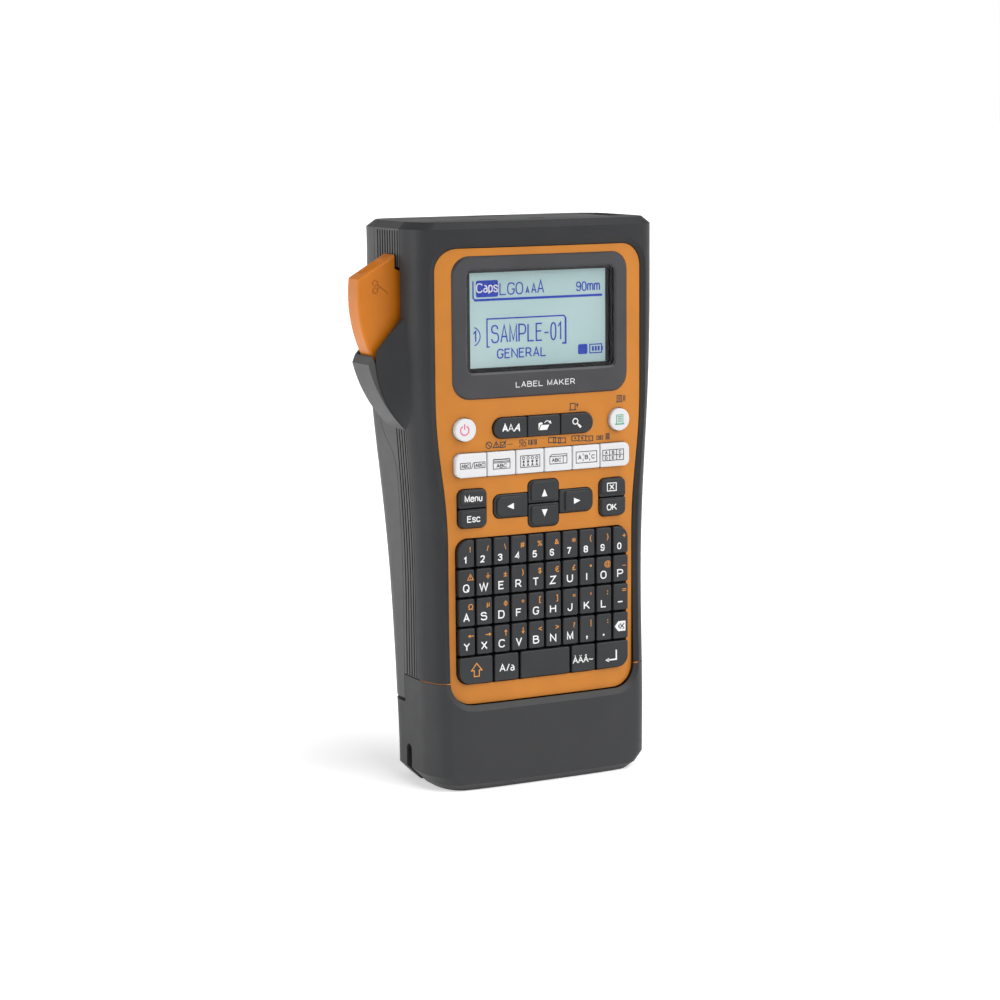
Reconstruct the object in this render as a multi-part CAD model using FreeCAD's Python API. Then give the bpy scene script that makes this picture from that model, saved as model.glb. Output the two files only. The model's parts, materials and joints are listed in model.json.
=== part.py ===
import FreeCAD, Part
import math
import os

# Hand-held label maker. Millimetres; +X to the keyboard's right, +Y to the back, +Z up.
# The origin is the centre of the flat end that it stands on.

V = FreeCAD.Vector

# ---------------------------------------------------------------- driving dimensions

# Body, given as level: (height, half width, front Y, rear Y)
TOP_Z = 230.9
TOP_CHAMFER = 2.8
FOOT_CHAMFER_SIDE = 6.6
FOOT_CHAMFER_FRONT = 3.0
BODY_LEVELS = [
    (FOOT_CHAMFER_SIDE, 50.4, -23.3, 23.3),
    (28.0, 50.6, -23.3, 24.0),
    (60.0, 50.8, -22.2, 26.6),
    (93.0, 51.0, -21.6, 30.6),
    (125.0, 52.5, -21.5, 34.2),
    (156.0, 54.6, -21.5, 36.7),
    (205.0, 55.9, -21.5, 37.0),
    (TOP_Z - TOP_CHAMFER, 55.9, -21.5, 37.0),
]
FRONT_ROUND_X = 8.0
FRONT_ROUND_Y = 14.0
REAR_ROUND = 12.0
WALL = 2.2
CROWN_HALF_WIDTH = 47.0
CROWN_DROP = 2.8

# Where the casings meet
PARTING_Y = -4.2
BASE_SPLIT_Z = 45.2
COVER_BOTTOM_Z = 34.6
COVER_GAP = 0.3
BASE_REAR_TOP_Z = 33.4
SEAM_WIDTH = 0.44
SEAM_DEPTH = 1.4

# Face panel and keys
PANEL_FRONT_Y = -19.8
PANEL_THICKNESS = 2.0
PANEL_TOP_Z = 220.5
PANEL_BOTTOM_Z = 35.6
PANEL_HALF_WIDTH_HEAD = 46.9
PANEL_HALF_WIDTH_GRIP = 42.5
PANEL_CORNER = 9.5
PANEL_TAPER_TOP_Z = 161.0
PANEL_TAPER_BOTTOM_Z = 100.0
LIP_WIDTH = 2.2
LIP_DEPTH = 1.5
KEY_TOP_Y = -21.0
KEY_BOTTOM_Y = -16.6
KEY_GAP = 0.3
KEY_EDGE = 0.55

# Letter keyboard: ten columns, four full rows and one row of wide keys
COLUMN_PITCH = 7.92
ROW_PITCH = 12.05
GRID_BOTTOM_Z = 43.85
GRID_HALF_WIDTH = 5 * COLUMN_PITCH
KEY_SPACING = 0.95
KEYBOARD_CORNER = 5.2
WIDE_ROW = [0, 2, 3.5, 6.5, 8, 10]

# Screen
BEZEL_BOX = (-40.0, 160.0, 40.0, 217.3)
BEZEL_CORNER = 7.5
BEZEL_FRONT_Y = -20.6
BEZEL_EDGE = 0.75
WINDOW_BOX = (-33.6, 170.6, 33.6, 211.6)
DISPLAY_BOX = (-31.0, 172.2, 31.0, 210.4)
DISPLAY_Y = (-16.7, -12.2)

# Cutter lever, seen from the front
LEVER_PIVOT = (-16.3, 201.7)
LEVER_RADIUS = 56.4
LEVER_Y = (-1.2, 9.7)
LEVER_ARM_Y = (-3.6, 0.4)

# Printing side
TAPE_X = 45.0
ROLLER_AXIS = (47.8, 186.0)
ROLLER_RADIUS = 2.8
MOTOR_AXIS = (30.0, 146.5)
MODULE = 0.6
SMALL_TEETH = 12
IDLER_TEETH = 64
TAKE_UP_DIRECTION_DEG = 150.0
GEAR_Y = (-8.2, -5.2)
DECK_Y = (-4.4, -3.0)
PLATEN_PIVOT = (38.94, 194.1)
CASSETTE_BOX = (-29.0, 158.0, 37.0, 207.0)
CASSETTE_Y = (1.5, 21.5)
CASSETTE_WALL = 1.2
TAPE_ROLL = (-11.5, 182.5, 16.0)

# Cutter train
LINK_PIVOT = (14.0, 210.0)

# Cover hinge
HINGE_Y = 21.8
HINGE_Z = 30.6
HINGE_PIN_R = 1.1

RUNNING_FIT = 0.06


# ---------------------------------------------------------------- helpers

def line(a, b):
    return Part.LineSegment(a, b).toShape()


def bezier(points):
    curve = Part.BezierCurve()
    curve.setPoles(points)
    return curve.toShape()


def box(x0, x1, y0, y1, z0, z1):
    return Part.makeBox(x1 - x0, y1 - y0, z1 - z0, V(x0, y0, z0))


def rod(x, z, radius, y0, y1):
    """Cylinder along Y."""
    return Part.makeCylinder(radius, y1 - y0, V(x, y0, z), V(0, 1, 0))


def rod_x(y, z, radius, x0, x1):
    return Part.makeCylinder(radius, x1 - x0, V(x0, y, z), V(1, 0, 0))


def prism(face, vector):
    return face.extrude(vector)


def polygon(points, y0, y1):
    """Front-view polygon of (x, z) points, between two Y planes."""
    wire = Part.makePolygon([V(x, y0, z) for x, z in points + points[:1]])
    return prism(Part.Face(wire), V(0, y1 - y0, 0))


def side_polygon(points, x0, x1):
    """Side-view polygon of (y, z) points, between two X planes."""
    wire = Part.makePolygon([V(x0, y, z) for y, z in points + points[:1]])
    return prism(Part.Face(wire), V(x1 - x0, 0, 0))


def rounded_box(bounds, radii, y0, y1):
    """Front-view rectangle (x0, z0, x1, z1) with one radius, or one per corner
    in the order bottom left, bottom right, top right, top left."""
    x0, z0, x1, z1 = bounds
    if not isinstance(radii, (list, tuple)):
        radii = [radii] * 4
    corners = [(x0, z0, 1, 1), (x1, z0, -1, 1), (x1, z1, -1, -1), (x0, z1, 1, -1)]
    arcs = []
    for (x, z, sx, sz), r in zip(corners, radii):
        centre = (x + sx * r, z + sz * r)
        start = (x, z + sz * r)
        end = (x + sx * r, z)
        if sx * sz < 0:
            start, end = end, start
        k = r * math.sqrt(0.5)
        middle = (centre[0] - sx * k, centre[1] - sz * k)
        arcs.append((start, middle, end))
    edges = []
    for index, (start, middle, end) in enumerate(arcs):
        points = [V(p[0], y0, p[1]) for p in (start, middle, end)]
        edges.append(Part.Arc(*points).toShape())
        following = V(arcs[(index + 1) % 4][0][0], y0, arcs[(index + 1) % 4][0][1])
        if (following - points[2]).Length > 1e-6:
            edges.append(line(points[2], following))
    face = Part.Face(Part.Wire(edges))
    return prism(face, V(0, y1 - y0, 0))


def join(shapes):
    result = shapes[0].multiFuse(shapes[1:]) if len(shapes) > 1 else shapes[0]
    return result.removeSplitter()


def front_edges(shape, y):
    """Edges that lie in the plane Y = y."""
    return [e for e in shape.Edges if all(abs(v.Y - y) < 1e-4 for v in e.Vertexes)
            and abs(e.CenterOfMass.y - y) < 1e-4]


def crown(x):
    """How far the front surface falls back at x."""
    return CROWN_DROP * (abs(x) / CROWN_HALF_WIDTH) ** 4


def crown_curve(half_width, y, z):
    """The crown as an exact degree-four curve from -half_width to +half_width."""
    drop = crown(half_width)
    signs = [1, -1, 1, -1, 1]
    return bezier([V(half_width * (i - 2) / 2, y + s * drop, z) for i, s in enumerate(signs)])


def crowned_block(y_front, y_back, z0, z1, half_width=60.0):
    """Block whose front follows the crown."""
    front = crown_curve(half_width, y_front, z0)
    a, b = front.Vertexes[0].Point, front.Vertexes[-1].Point
    c, d = V(half_width, y_back, z0), V(-half_width, y_back, z0)
    face = Part.Face(Part.Wire([front, line(b, c), line(c, d), line(d, a)]))
    return prism(face, V(0, 0, z1 - z0))


def crowned_sheet(y_front, thickness, z0, z1):
    outer = crowned_block(y_front, 10.0, z0, z1)
    return outer.cut(crowned_block(y_front + thickness, 11.0, z0 - 1, z1 + 1))


# ---------------------------------------------------------------- body

def body_section(z, half_width, front, rear, inset):
    """Horizontal section: crowned front, soft front corners, round rear corners."""
    w, yf, yr = half_width - inset, front + inset, rear - inset
    round_x, round_y, r = FRONT_ROUND_X - inset * 0.6, FRONT_ROUND_Y - inset, REAR_ROUND - inset
    wf = w - round_x
    drop = crown(wf)
    slope = 4 * drop / wf
    k = 0.5523
    front_curve = crown_curve(wf, yf, z)
    y_corner = yf + drop + round_y

    def corner(sign):
        start = V(sign * wf, yf + drop, z)
        handle = V(sign * (wf + k * round_x), yf + drop + slope * k * round_x, z)
        end = V(sign * w, y_corner, z)
        return [start, handle, V(sign * w, y_corner - k * round_y, z), end]

    def rear_corner(sign):
        return [V(sign * w, yr - r, z), V(sign * w, yr - r + k * r, z),
                V(sign * (w - r + k * r), yr, z), V(sign * (w - r), yr, z)]

    right, left = corner(1), corner(-1)
    back_right, back_left = rear_corner(1), rear_corner(-1)
    return Part.Wire([
        front_curve,
        bezier(right),
        line(right[3], back_right[0]),
        bezier(back_right),
        line(back_right[3], back_left[3]),
        bezier(back_left[::-1]),
        line(back_left[0], left[3]),
        bezier(left[::-1]),
    ])


def body(inset=0.0):
    """The whole outer form, or the same form inset by a wall: chamfered foot, walls, chamfered top."""
    rise, shift = inset * 0.414, inset * 0.586

    def section(z, level, side, front):
        _, half_width, yf, yr = level
        return body_section(z, half_width - side, yf + front, yr - front, inset)

    bottom, top = BODY_LEVELS[0], BODY_LEVELS[-1]
    foot_z, shoulder_z = bottom[0] + rise, top[0] - rise
    heights = [foot_z] + [level[0] for level in BODY_LEVELS[1:-1]] + [shoulder_z]
    walls = Part.makeLoft([section(z, level, 0, 0) for z, level in zip(heights, BODY_LEVELS)], True, False)
    foot = Part.makeLoft([
        section(inset, bottom, FOOT_CHAMFER_SIDE - shift, FOOT_CHAMFER_FRONT - shift),
        section(FOOT_CHAMFER_FRONT + rise, bottom, FOOT_CHAMFER_SIDE - FOOT_CHAMFER_FRONT, 0),
        section(foot_z, bottom, 0, 0),
    ], True, True)
    shoulder = Part.makeLoft([
        section(shoulder_z, top, 0, 0),
        section(TOP_Z - inset, top, TOP_CHAMFER - shift, TOP_CHAMFER - shift),
    ], True, True)
    return walls.multiFuse([foot, shoulder])


def cover_region(gap):
    """Everything that belongs to the rear cover, seen from the side; gap shrinks it."""
    head_y, grip_y = 19.6 + gap, 7.1 + gap
    bottom = COVER_BOTTOM_Z + gap
    upper = V(-80, head_y, 153.0)
    lower = V(-80, grip_y, 126.0)
    bend = bezier([upper, V(-80, head_y, 139.0), V(-80, grip_y, 143.0), lower])
    corners = [lower, V(-80, grip_y, bottom), V(-80, 70, bottom), V(-80, 70, 260), V(-80, head_y, 260), upper]
    edges = [bend] + [line(a, b) for a, b in zip(corners, corners[1:])]
    return prism(Part.Face(Part.Wire(edges)), V(160, 0, 0))


def panel_outline(grow, y0, y1):
    """Outline of the face panel: wide at the screen, narrower at the keyboard."""
    head, grip = PANEL_HALF_WIDTH_HEAD + grow, PANEL_HALF_WIDTH_GRIP + grow
    top, bottom = PANEL_TOP_Z + grow, PANEL_BOTTOM_Z - grow
    r = PANEL_CORNER + grow
    k = r * (1 - math.sqrt(0.5))
    z_high, z_low = PANEL_TAPER_TOP_Z, PANEL_TAPER_BOTTOM_Z
    third = (z_high - z_low) * 0.42

    def at(x, z):
        return V(x, y0, z)

    def taper(sign):
        return [at(sign * grip, z_low), at(sign * grip, z_low + third),
                at(sign * head, z_high - third), at(sign * head, z_high)]

    edges = [
        line(at(-grip + r, bottom), at(grip - r, bottom)),
        Part.Arc(at(grip - r, bottom), at(grip - k, bottom + k), at(grip, bottom + r)).toShape(),
        line(at(grip, bottom + r), at(grip, z_low)),
        bezier(taper(1)),
        line(at(head, z_high), at(head, top - r)),
        Part.Arc(at(head, top - r), at(head - k, top - k), at(head - r, top)).toShape(),
        line(at(head - r, top), at(-head + r, top)),
        Part.Arc(at(-head + r, top), at(-head + k, top - k), at(-head, top - r)).toShape(),
        line(at(-head, top - r), at(-head, z_high)),
        bezier(taper(-1)[::-1]),
        line(at(-grip, z_low), at(-grip, bottom + r)),
        Part.Arc(at(-grip, bottom + r), at(-grip + k, bottom + k), at(-grip + r, bottom)).toShape(),
    ]
    return prism(Part.Face(Part.Wire(edges)), V(0, y1 - y0, 0))



# ---------------------------------------------------------------- lever guard

def polar(degrees, radius, y=0.0):
    """Point at an angle round the lever pivot, seen from the front."""
    a = math.radians(degrees)
    return V(LEVER_PIVOT[0] + radius * math.cos(a), y, LEVER_PIVOT[1] + radius * math.sin(a))


def sector(r0, r1, start, end, y0, y1):
    """Ring sector round the lever pivot, between two angles in degrees."""
    middle = (start + end) / 2
    outer = [polar(a, r1, y0) for a in (start, middle, end)]
    inner = [polar(a, r0, y0) for a in (end, middle, start)]
    face = Part.Face(Part.Wire([
        Part.Arc(*outer).toShape(), line(outer[2], inner[0]),
        Part.Arc(*inner).toShape(), line(inner[2], outer[0]),
    ]))
    return prism(face, V(0, y1 - y0, 0))


GUARD_FOOT = (-54.0, 147.6)
GUARD_BULGE = (-62.9, 158.4)
GUARD_TIP = (-69.9, 174.6)
GUARD_RIM = (-68.7, 177.6)
GUARD_TOP = (-54.4, 194.4)
GUARD_REAR_Y = 12.0
GUARD_FRONT_Y = -16.0
GUARD_LEVELS = [145.0, 149.0, 153.0, 158.0, 163.0, 168.5, 174.6, 196.0]
GUARD_ROOT = (-52.5, -11.6)
GUARD_HOLLOW = 0.1
POCKET_RADIUS = 57.1
POCKET_Y = (PARTING_Y, 10.4)
POCKET_START = 164.0
POCKET_END = 234.0


def guard_block(y0, y1):
    """Fin that stands off the left side beneath the lever."""
    foot, bulge, tip, rim, top = [V(x, y0, z) for x, z in (GUARD_FOOT, GUARD_BULGE, GUARD_TIP,
                                                           GUARD_RIM, GUARD_TOP)]
    inside_top, inside_foot = V(-50.0, y0, GUARD_TOP[1]), V(-50.0, y0, GUARD_FOOT[1] - 6.0)
    face = Part.Face(Part.Wire([
        Part.Arc(foot, bulge, tip).toShape(), line(tip, rim), line(rim, top),
        line(top, inside_top), line(inside_top, inside_foot), line(inside_foot, foot),
    ]))
    return prism(face, V(0, y1 - y0, 0))


def guard_front():
    """Front half of the fin, hollowed from its thin rim to the body."""
    foot, bulge, tip = [V(x, 0, z) for x, z in (GUARD_FOOT, GUARD_BULGE, GUARD_TIP)]
    outline = Part.Arc(foot, bulge, tip).toShape().Curve
    inside_x = -49.0
    sections = []
    for z in GUARD_LEVELS:
        rise = min(z, GUARD_TIP[1]) - outline.Center.z
        rim = V(outline.Center.x - math.sqrt(outline.Radius ** 2 - rise ** 2), PARTING_Y, z)
        root = V(GUARD_ROOT[0], GUARD_ROOT[1], z)
        chord = root - rim
        middle = (rim + root) * 0.5 + V(-chord.y, chord.x, 0) * GUARD_HOLLOW
        inner_root, inner_rim = V(inside_x, root.y, z), V(inside_x, PARTING_Y, z)
        sections.append(Part.Wire([Part.Arc(rim, middle, root).toShape(), line(root, inner_root),
                                   line(inner_root, inner_rim), line(inner_rim, rim)]))
    fin = Part.makeLoft(sections, True, True)
    return fin.common(guard_block(GUARD_FRONT_Y, PARTING_Y))


def lever_pocket():
    return sector(30.0, POCKET_RADIUS, POCKET_START, POCKET_END, *POCKET_Y)


# ---------------------------------------------------------------- casings

TAPE_SLOT = (45.0, 49.6, 3.0, 25.0)      # x0, x1, y0, y1 through the top
STRAP_SLOT = (2.0, 6.8, -2.0, 16.2)      # y0, y1, z0, z1 in the left foot
STRAP_DEPTH = 9.0
RIB_WIDTH = 1.0
RIB_PITCH = 2.35
RIB_DEPTH = 0.9
RIB_TOP_Z = 227.4
TAPE_WELL = (41.5, 51.6, -1.0, 28.0)     # shallow well round the tape slot
TAPE_WELL_DEPTH = 1.2
TOP_NOTCHES = [(-20.0, -12.5), (3.0, 10.5)]


def ribs():
    """Thin vertical slots down both sides, cut to a constant depth."""
    slabs = []
    for column in range(9):
        y = PARTING_Y + 1.2 + column * RIB_PITCH
        low = BASE_SPLIT_Z + 0.4 if y + RIB_WIDTH < 6.9 else 156.0
        slabs.append(box(-60, 60, y, y + RIB_WIDTH, low, RIB_TOP_Z))
    return Part.makeCompound(slabs).cut(guard_block(GUARD_FRONT_Y, GUARD_REAR_Y + 1.0))


def base_region():
    return side_polygon([(-60, -5), (-60, BASE_SPLIT_Z), (7.1, BASE_SPLIT_Z), (7.1, BASE_REAR_TOP_Z),
                         (60, BASE_REAR_TOP_Z), (60, -5)], -80, 80)


def seam_grooves():
    """Fine open lines where the casings meet."""
    half = SEAM_WIDTH / 2
    parting = box(-80, 80, PARTING_Y - half, PARTING_Y + half, BASE_SPLIT_Z, 260)
    split = box(-80, 80, -60, 7.0, BASE_SPLIT_Z - half, BASE_SPLIT_Z + half)
    return Part.makeCompound([parting, split]).cut(body(SEAM_DEPTH))


def lip_edges(shape):
    """The rim of the panel recess on the body's front surface."""
    edges = []
    for edge in shape.Edges:
        span = edge.LastParameter - edge.FirstParameter
        points = [edge.valueAt(edge.FirstParameter + span * t / 4) for t in range(5)]
        if all(p.y < -15 and abs(p.x) < 47.5 and 35 < p.z < PANEL_TOP_Z + 0.3 for p in points):
            edges.append(edge)
    return edges


def build_casings():
    outer, inner = body(), body(WALL)
    recess = outer.cut(panel_outline(0.15, -60, -8))
    lipped = recess.makeChamfer(LIP_WIDTH, LIP_DEPTH, lip_edges(recess))
    shell = lipped.cut(inner)
    skin = box(-80, 80, -60, 60, -5, 260).cut(body(RIB_DEPTH))
    slot_x0, slot_x1, slot_y0, slot_y1 = TAPE_SLOT
    tape_slot = box(slot_x0, slot_x1, slot_y0, slot_y1, TOP_Z - 6, TOP_Z + 4)
    tape_well = box(*TAPE_WELL, TOP_Z - TAPE_WELL_DEPTH, TOP_Z + 4)
    notches = [box(x0, x1, PARTING_Y, PARTING_Y + 3.0, TOP_Z - 1.2, TOP_Z + 4) for x0, x1 in TOP_NOTCHES]
    top_cuts = Part.makeCompound([tape_slot.fuse(tape_well)] + notches)
    seams = seam_grooves()

    front_half = box(-80, 80, -60, PARTING_Y, BASE_SPLIT_Z, 260)
    front = join([shell.common(front_half), guard_front().cut(inner)]).cut(seams)

    rear_half = box(-80, 80, PARTING_Y, 60, BASE_SPLIT_Z, 260).cut(cover_region(0))
    guard_rear = guard_block(PARTING_Y, GUARD_REAR_Y).cut(inner)
    rear = join([shell.common(rear_half), guard_rear])
    rear = rear.cut(lever_pocket()).cut(ribs().common(skin)).cut(top_cuts).cut(seams)

    base = shell.common(base_region()).cut(seams)
    cover = shell.common(cover_region(COVER_GAP)).cut(top_cuts)
    return front, rear, base, cover


# ---------------------------------------------------------------- keys

SYMBOL_KEYS = {
    "power_key": ((-39.9, 143.6, -30.7, 152.8), 4.55),
    "print_key": ((30.7, 143.6, 39.9, 152.8), 4.55),
    "font_key": ((-22.8, 143.8, -7.75, 152.1), [4.0, 0.8, 0.8, 4.0]),
    "file_key": ((-7.45, 143.8, 7.45, 152.1), 0.8),
    "search_key": ((7.75, 143.8, 22.8, 152.1), [0.8, 4.0, 4.0, 0.8]),
    "menu_key": ((-38.4, 116.35, -26.0, 124.0), [0.8, 0.8, 2.6, 2.6]),
    "escape_key": ((-38.4, 108.3, -26.0, 115.95), [2.6, 2.6, 0.8, 0.8]),
    "clear_key": ((26.0, 116.35, 38.4, 124.0), [0.8, 0.8, 2.6, 2.6]),
    "ok_key": ((26.0, 108.3, 38.4, 115.95), [2.6, 2.6, 0.8, 0.8]),
    "up_key": ((-7.0, 116.35, 7.0, 125.7), [0.8, 0.8, 2.4, 2.4]),
    "down_key": ((-7.0, 106.5, 7.0, 115.95), [2.4, 2.4, 0.8, 0.8]),
    "left_key": ((-22.8, 111.3, -7.3, 120.9), [3.0, 0.8, 0.8, 3.0]),
    "right_key": ((7.3, 111.3, 22.8, 120.9), [0.8, 3.0, 3.0, 0.8]),
}
# Keys whose raised cap is smaller than their base: how far it stands in, left, bottom, right, top
KEY_STEP_Y = -20.3
STEPPED_KEYS = {
    "menu_key": (0.5, 1.5, 0.5, 0.3),
    "escape_key": (0.5, 0.3, 0.5, 0.5),
    "clear_key": (0.5, 1.5, 0.5, 0.3),
    "ok_key": (0.5, 0.3, 0.5, 0.5),
    "up_key": (1.0, 0.9, 1.0, 0.5),
    "down_key": (1.0, 0.8, 1.0, 0.9),
    "left_key": (1.1, 0.7, 2.8, 0.8),
    "right_key": (2.4, 0.7, 0.9, 0.8),
}
APP_STRIP = (-39.8, 128.9, 39.8, 138.6)
APP_DIVIDERS = [-39.8, -26.0, -13.0, 0.0, 13.0, 26.0, 39.8]
APP_CORNER = 2.6
# Openings in the face panel that more than one key shares
SHARED_OPENINGS = [
    ((-22.8, 143.8, 22.8, 152.1), 4.0),
    (APP_STRIP, APP_CORNER),
    ((-38.4, 108.3, -26.0, 124.0), 2.6),
    ((26.0, 108.3, 38.4, 124.0), 2.6),
    ((-7.0, 106.5, 7.0, 125.7), 2.4),
    ((-22.8, 111.3, 22.8, 120.9), 3.0),
    ((-39.9, 143.6, -30.7, 152.8), 4.55),
    ((30.7, 143.6, 39.9, 152.8), 4.55),
]


def key_block(bounds, radii, y_top=KEY_TOP_Y):
    """One keycap with a softened top edge."""
    block = rounded_box(bounds, radii, y_top, KEY_BOTTOM_Y)
    return block.makeFillet(KEY_EDGE, front_edges(block, y_top))


def stepped_key(name):
    """Low base with a smaller raised cap."""
    (x0, z0, x1, z1), radii = SYMBOL_KEYS[name]
    left, bottom, right, top = STEPPED_KEYS[name]
    base = key_block((x0, z0, x1, z1), radii, KEY_STEP_Y)
    cap = key_block((x0 + left, z0 + bottom, x1 - right, z1 - top), [max(0.9, r - 0.5) for r in radii])
    return join([base, cap])


def build_symbol_keys():
    keys = {name: stepped_key(name) if name in STEPPED_KEYS else key_block(*shape)
            for name, shape in SYMBOL_KEYS.items()}
    for index in range(6):
        left, right = APP_DIVIDERS[index], APP_DIVIDERS[index + 1]
        radii = [0.6] * 4
        if index == 0:
            radii, right = [APP_CORNER, 0.6, 0.6, APP_CORNER], right - 0.15
        elif index == 5:
            radii, left = [0.6, APP_CORNER, APP_CORNER, 0.6], left + 0.15
        else:
            left, right = left + 0.15, right - 0.15
        bounds = (left, APP_STRIP[1], right, APP_STRIP[3])
        keys["app_key_%d" % (index + 1)] = key_block(bounds, radii)
    return keys


def row_bounds(row):
    """Lower and upper edge of a letter row; row 1 is the top one."""
    low = GRID_BOTTOM_Z + (5 - row) * ROW_PITCH
    return low + KEY_SPACING / 2, low + ROW_PITCH - KEY_SPACING / 2


def build_key_row(row):
    z0, z1 = row_bounds(row)
    columns = WIDE_ROW if row == 5 else list(range(11))
    caps = []
    for left, right in zip(columns, columns[1:]):
        x0 = -GRID_HALF_WIDTH + left * COLUMN_PITCH + KEY_SPACING / 2
        x1 = -GRID_HALF_WIDTH + right * COLUMN_PITCH - KEY_SPACING / 2
        radii = [0.7] * 4
        outer_corners = {(5, 0): 0, (5, 10): 1, (1, 10): 2, (1, 0): 3}
        for edge in (left, right):
            if (row, edge) in outer_corners:
                radii[outer_corners[(row, edge)]] = KEYBOARD_CORNER - KEY_GAP - 0.2
        caps.append(key_block((x0, z0, x1, z1), radii))
    return Part.makeCompound(caps)


# ---------------------------------------------------------------- face

def keyboard_box(grow):
    return (-GRID_HALF_WIDTH - grow, GRID_BOTTOM_Z - grow,
            GRID_HALF_WIDTH + grow, GRID_BOTTOM_Z + 5 * ROW_PITCH + grow)


def build_face_panel():
    sheet = crowned_sheet(PANEL_FRONT_Y, PANEL_THICKNESS, PANEL_BOTTOM_Z - 1, PANEL_TOP_Z + 1)
    panel = sheet.common(panel_outline(-0.15, -60, 20))
    holes = [rounded_box((b[0] - KEY_GAP, b[1] - KEY_GAP, b[2] + KEY_GAP, b[3] + KEY_GAP),
                         r + KEY_GAP, -40, 0) for b, r in SHARED_OPENINGS]
    holes.append(rounded_box(keyboard_box(0.0), KEYBOARD_CORNER, -40, 0))
    holes.append(rounded_box(BEZEL_BOX, BEZEL_CORNER, -40, 0))
    for hole in holes:
        panel = panel.cut(hole)
    sheath = crowned_block(PANEL_FRONT_Y + PANEL_THICKNESS / 2, CHASSIS_Y[0], PANEL_BOTTOM_Z, PANEL_TOP_Z)
    posts = [rod(x, z, POST_RADIUS, -40, 0).common(sheath) for x, z in SCREW_POSTS]
    bores = [rod(x, z, SCREW_RADIUS + RUNNING_FIT, CHASSIS_Y[0] - 5, 0) for x, z in SCREW_POSTS]
    return panel.multiFuse(posts).cut(Part.makeCompound(bores))


def crowned_edges(shape, y_front):
    """Edges that lie on the crowned front surface and bound it."""
    edges = []
    for edge in shape.Edges:
        span = edge.LastParameter - edge.FirstParameter
        points = [edge.valueAt(edge.FirstParameter + span * t / 4) for t in range(5)]
        if all(abs(p.y - y_front - crown(p.x)) < 0.02 for p in points):
            edges.append(edge)
    return edges


def build_screen():
    x0, z0, x1, z1 = BEZEL_BOX
    sheet = crowned_sheet(BEZEL_FRONT_Y, PANEL_FRONT_Y + PANEL_THICKNESS + 0.15 - BEZEL_FRONT_Y, z0 - 1, z1 + 1)
    bezel = sheet.common(rounded_box((x0 + 0.1, z0 + 0.1, x1 - 0.1, z1 - 0.1), BEZEL_CORNER, -40, 0))
    wx0, wz0, wx1, wz1 = WINDOW_BOX
    seat_y = PANEL_FRONT_Y + 0.9
    throat = rounded_box((wx0, wz0, wx1, wz1), 2.4, -40, seat_y)
    bezel = bezel.cut(throat)
    bezel = bezel.makeChamfer(BEZEL_EDGE, BEZEL_EDGE, crowned_edges(bezel, BEZEL_FRONT_Y))
    dx0, dz0, dx1, dz1 = DISPLAY_BOX
    sight = rounded_box((wx0 + 0.8, wz0 + 0.8, wx1 - 0.8, wz1 - 0.8), 1.8, -40, 0)
    window_seat = rounded_box((wx0, wz0, wx1, wz1), 2.4, seat_y, seat_y + 1.0)
    bezel = bezel.cut(sight).cut(window_seat)
    window = rounded_box((wx0 + 0.1, wz0 + 0.1, wx1 - 0.1, wz1 - 0.1), 2.3, seat_y, seat_y + 1.0)
    module = box(dx0 - 3.5, dx1 + 3.5, DISPLAY_Y[0], DISPLAY_Y[1], dz0 - 6.0, dz1 + 3.0)
    module = module.cut(box(dx0, dx1, DISPLAY_Y[0], DISPLAY_Y[0] + 0.3, dz0, dz1))
    return bezel, window, module


# ---------------------------------------------------------------- boards behind the face

MAT_Y = (-14.7, -13.5)
KEY_BOARD_Y = (-13.5, -12.1)
CHASSIS_Y = (-11.6, -9.6)
DOME_RADIUS = 2.0
SCREW_POSTS = [(-43.4, 214.0), (43.4, 214.0), (-43.4, 156.0), (43.4, 156.0), (-30.0, 39.8), (30.0, 39.8)]
POST_RADIUS = 2.0
SCREW_RADIUS = 1.0
BASE_SCREWS = [(-40.0, 12.0), (40.0, 12.0)]


def key_centres():
    """Centre of each key, for the dome under it."""
    centres = [((b[0] + b[2]) / 2, (b[1] + b[3]) / 2) for b, _ in SYMBOL_KEYS.values()]
    for left, right in zip(APP_DIVIDERS, APP_DIVIDERS[1:]):
        centres.append(((left + right) / 2, (APP_STRIP[1] + APP_STRIP[3]) / 2))
    for row in range(1, 6):
        columns = WIDE_ROW if row == 5 else list(range(11))
        z = sum(row_bounds(row)) / 2
        for left, right in zip(columns, columns[1:]):
            centres.append((-GRID_HALF_WIDTH + (left + right) / 2 * COLUMN_PITCH, z))
    return centres


def build_key_stack():
    mat_box = (-40.5, 42.3, 40.5, 155.0)
    mat = rounded_box(mat_box, 4.0, *MAT_Y)
    domes = [Part.makeCone(DOME_RADIUS, DOME_RADIUS * 0.6, 0.8, V(x, MAT_Y[0] + 0.02, z), V(0, -1, 0))
             for x, z in key_centres()]
    mat = mat.multiFuse(domes)
    board = rounded_box(mat_box, 4.0, *KEY_BOARD_Y)
    return mat, board


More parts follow.
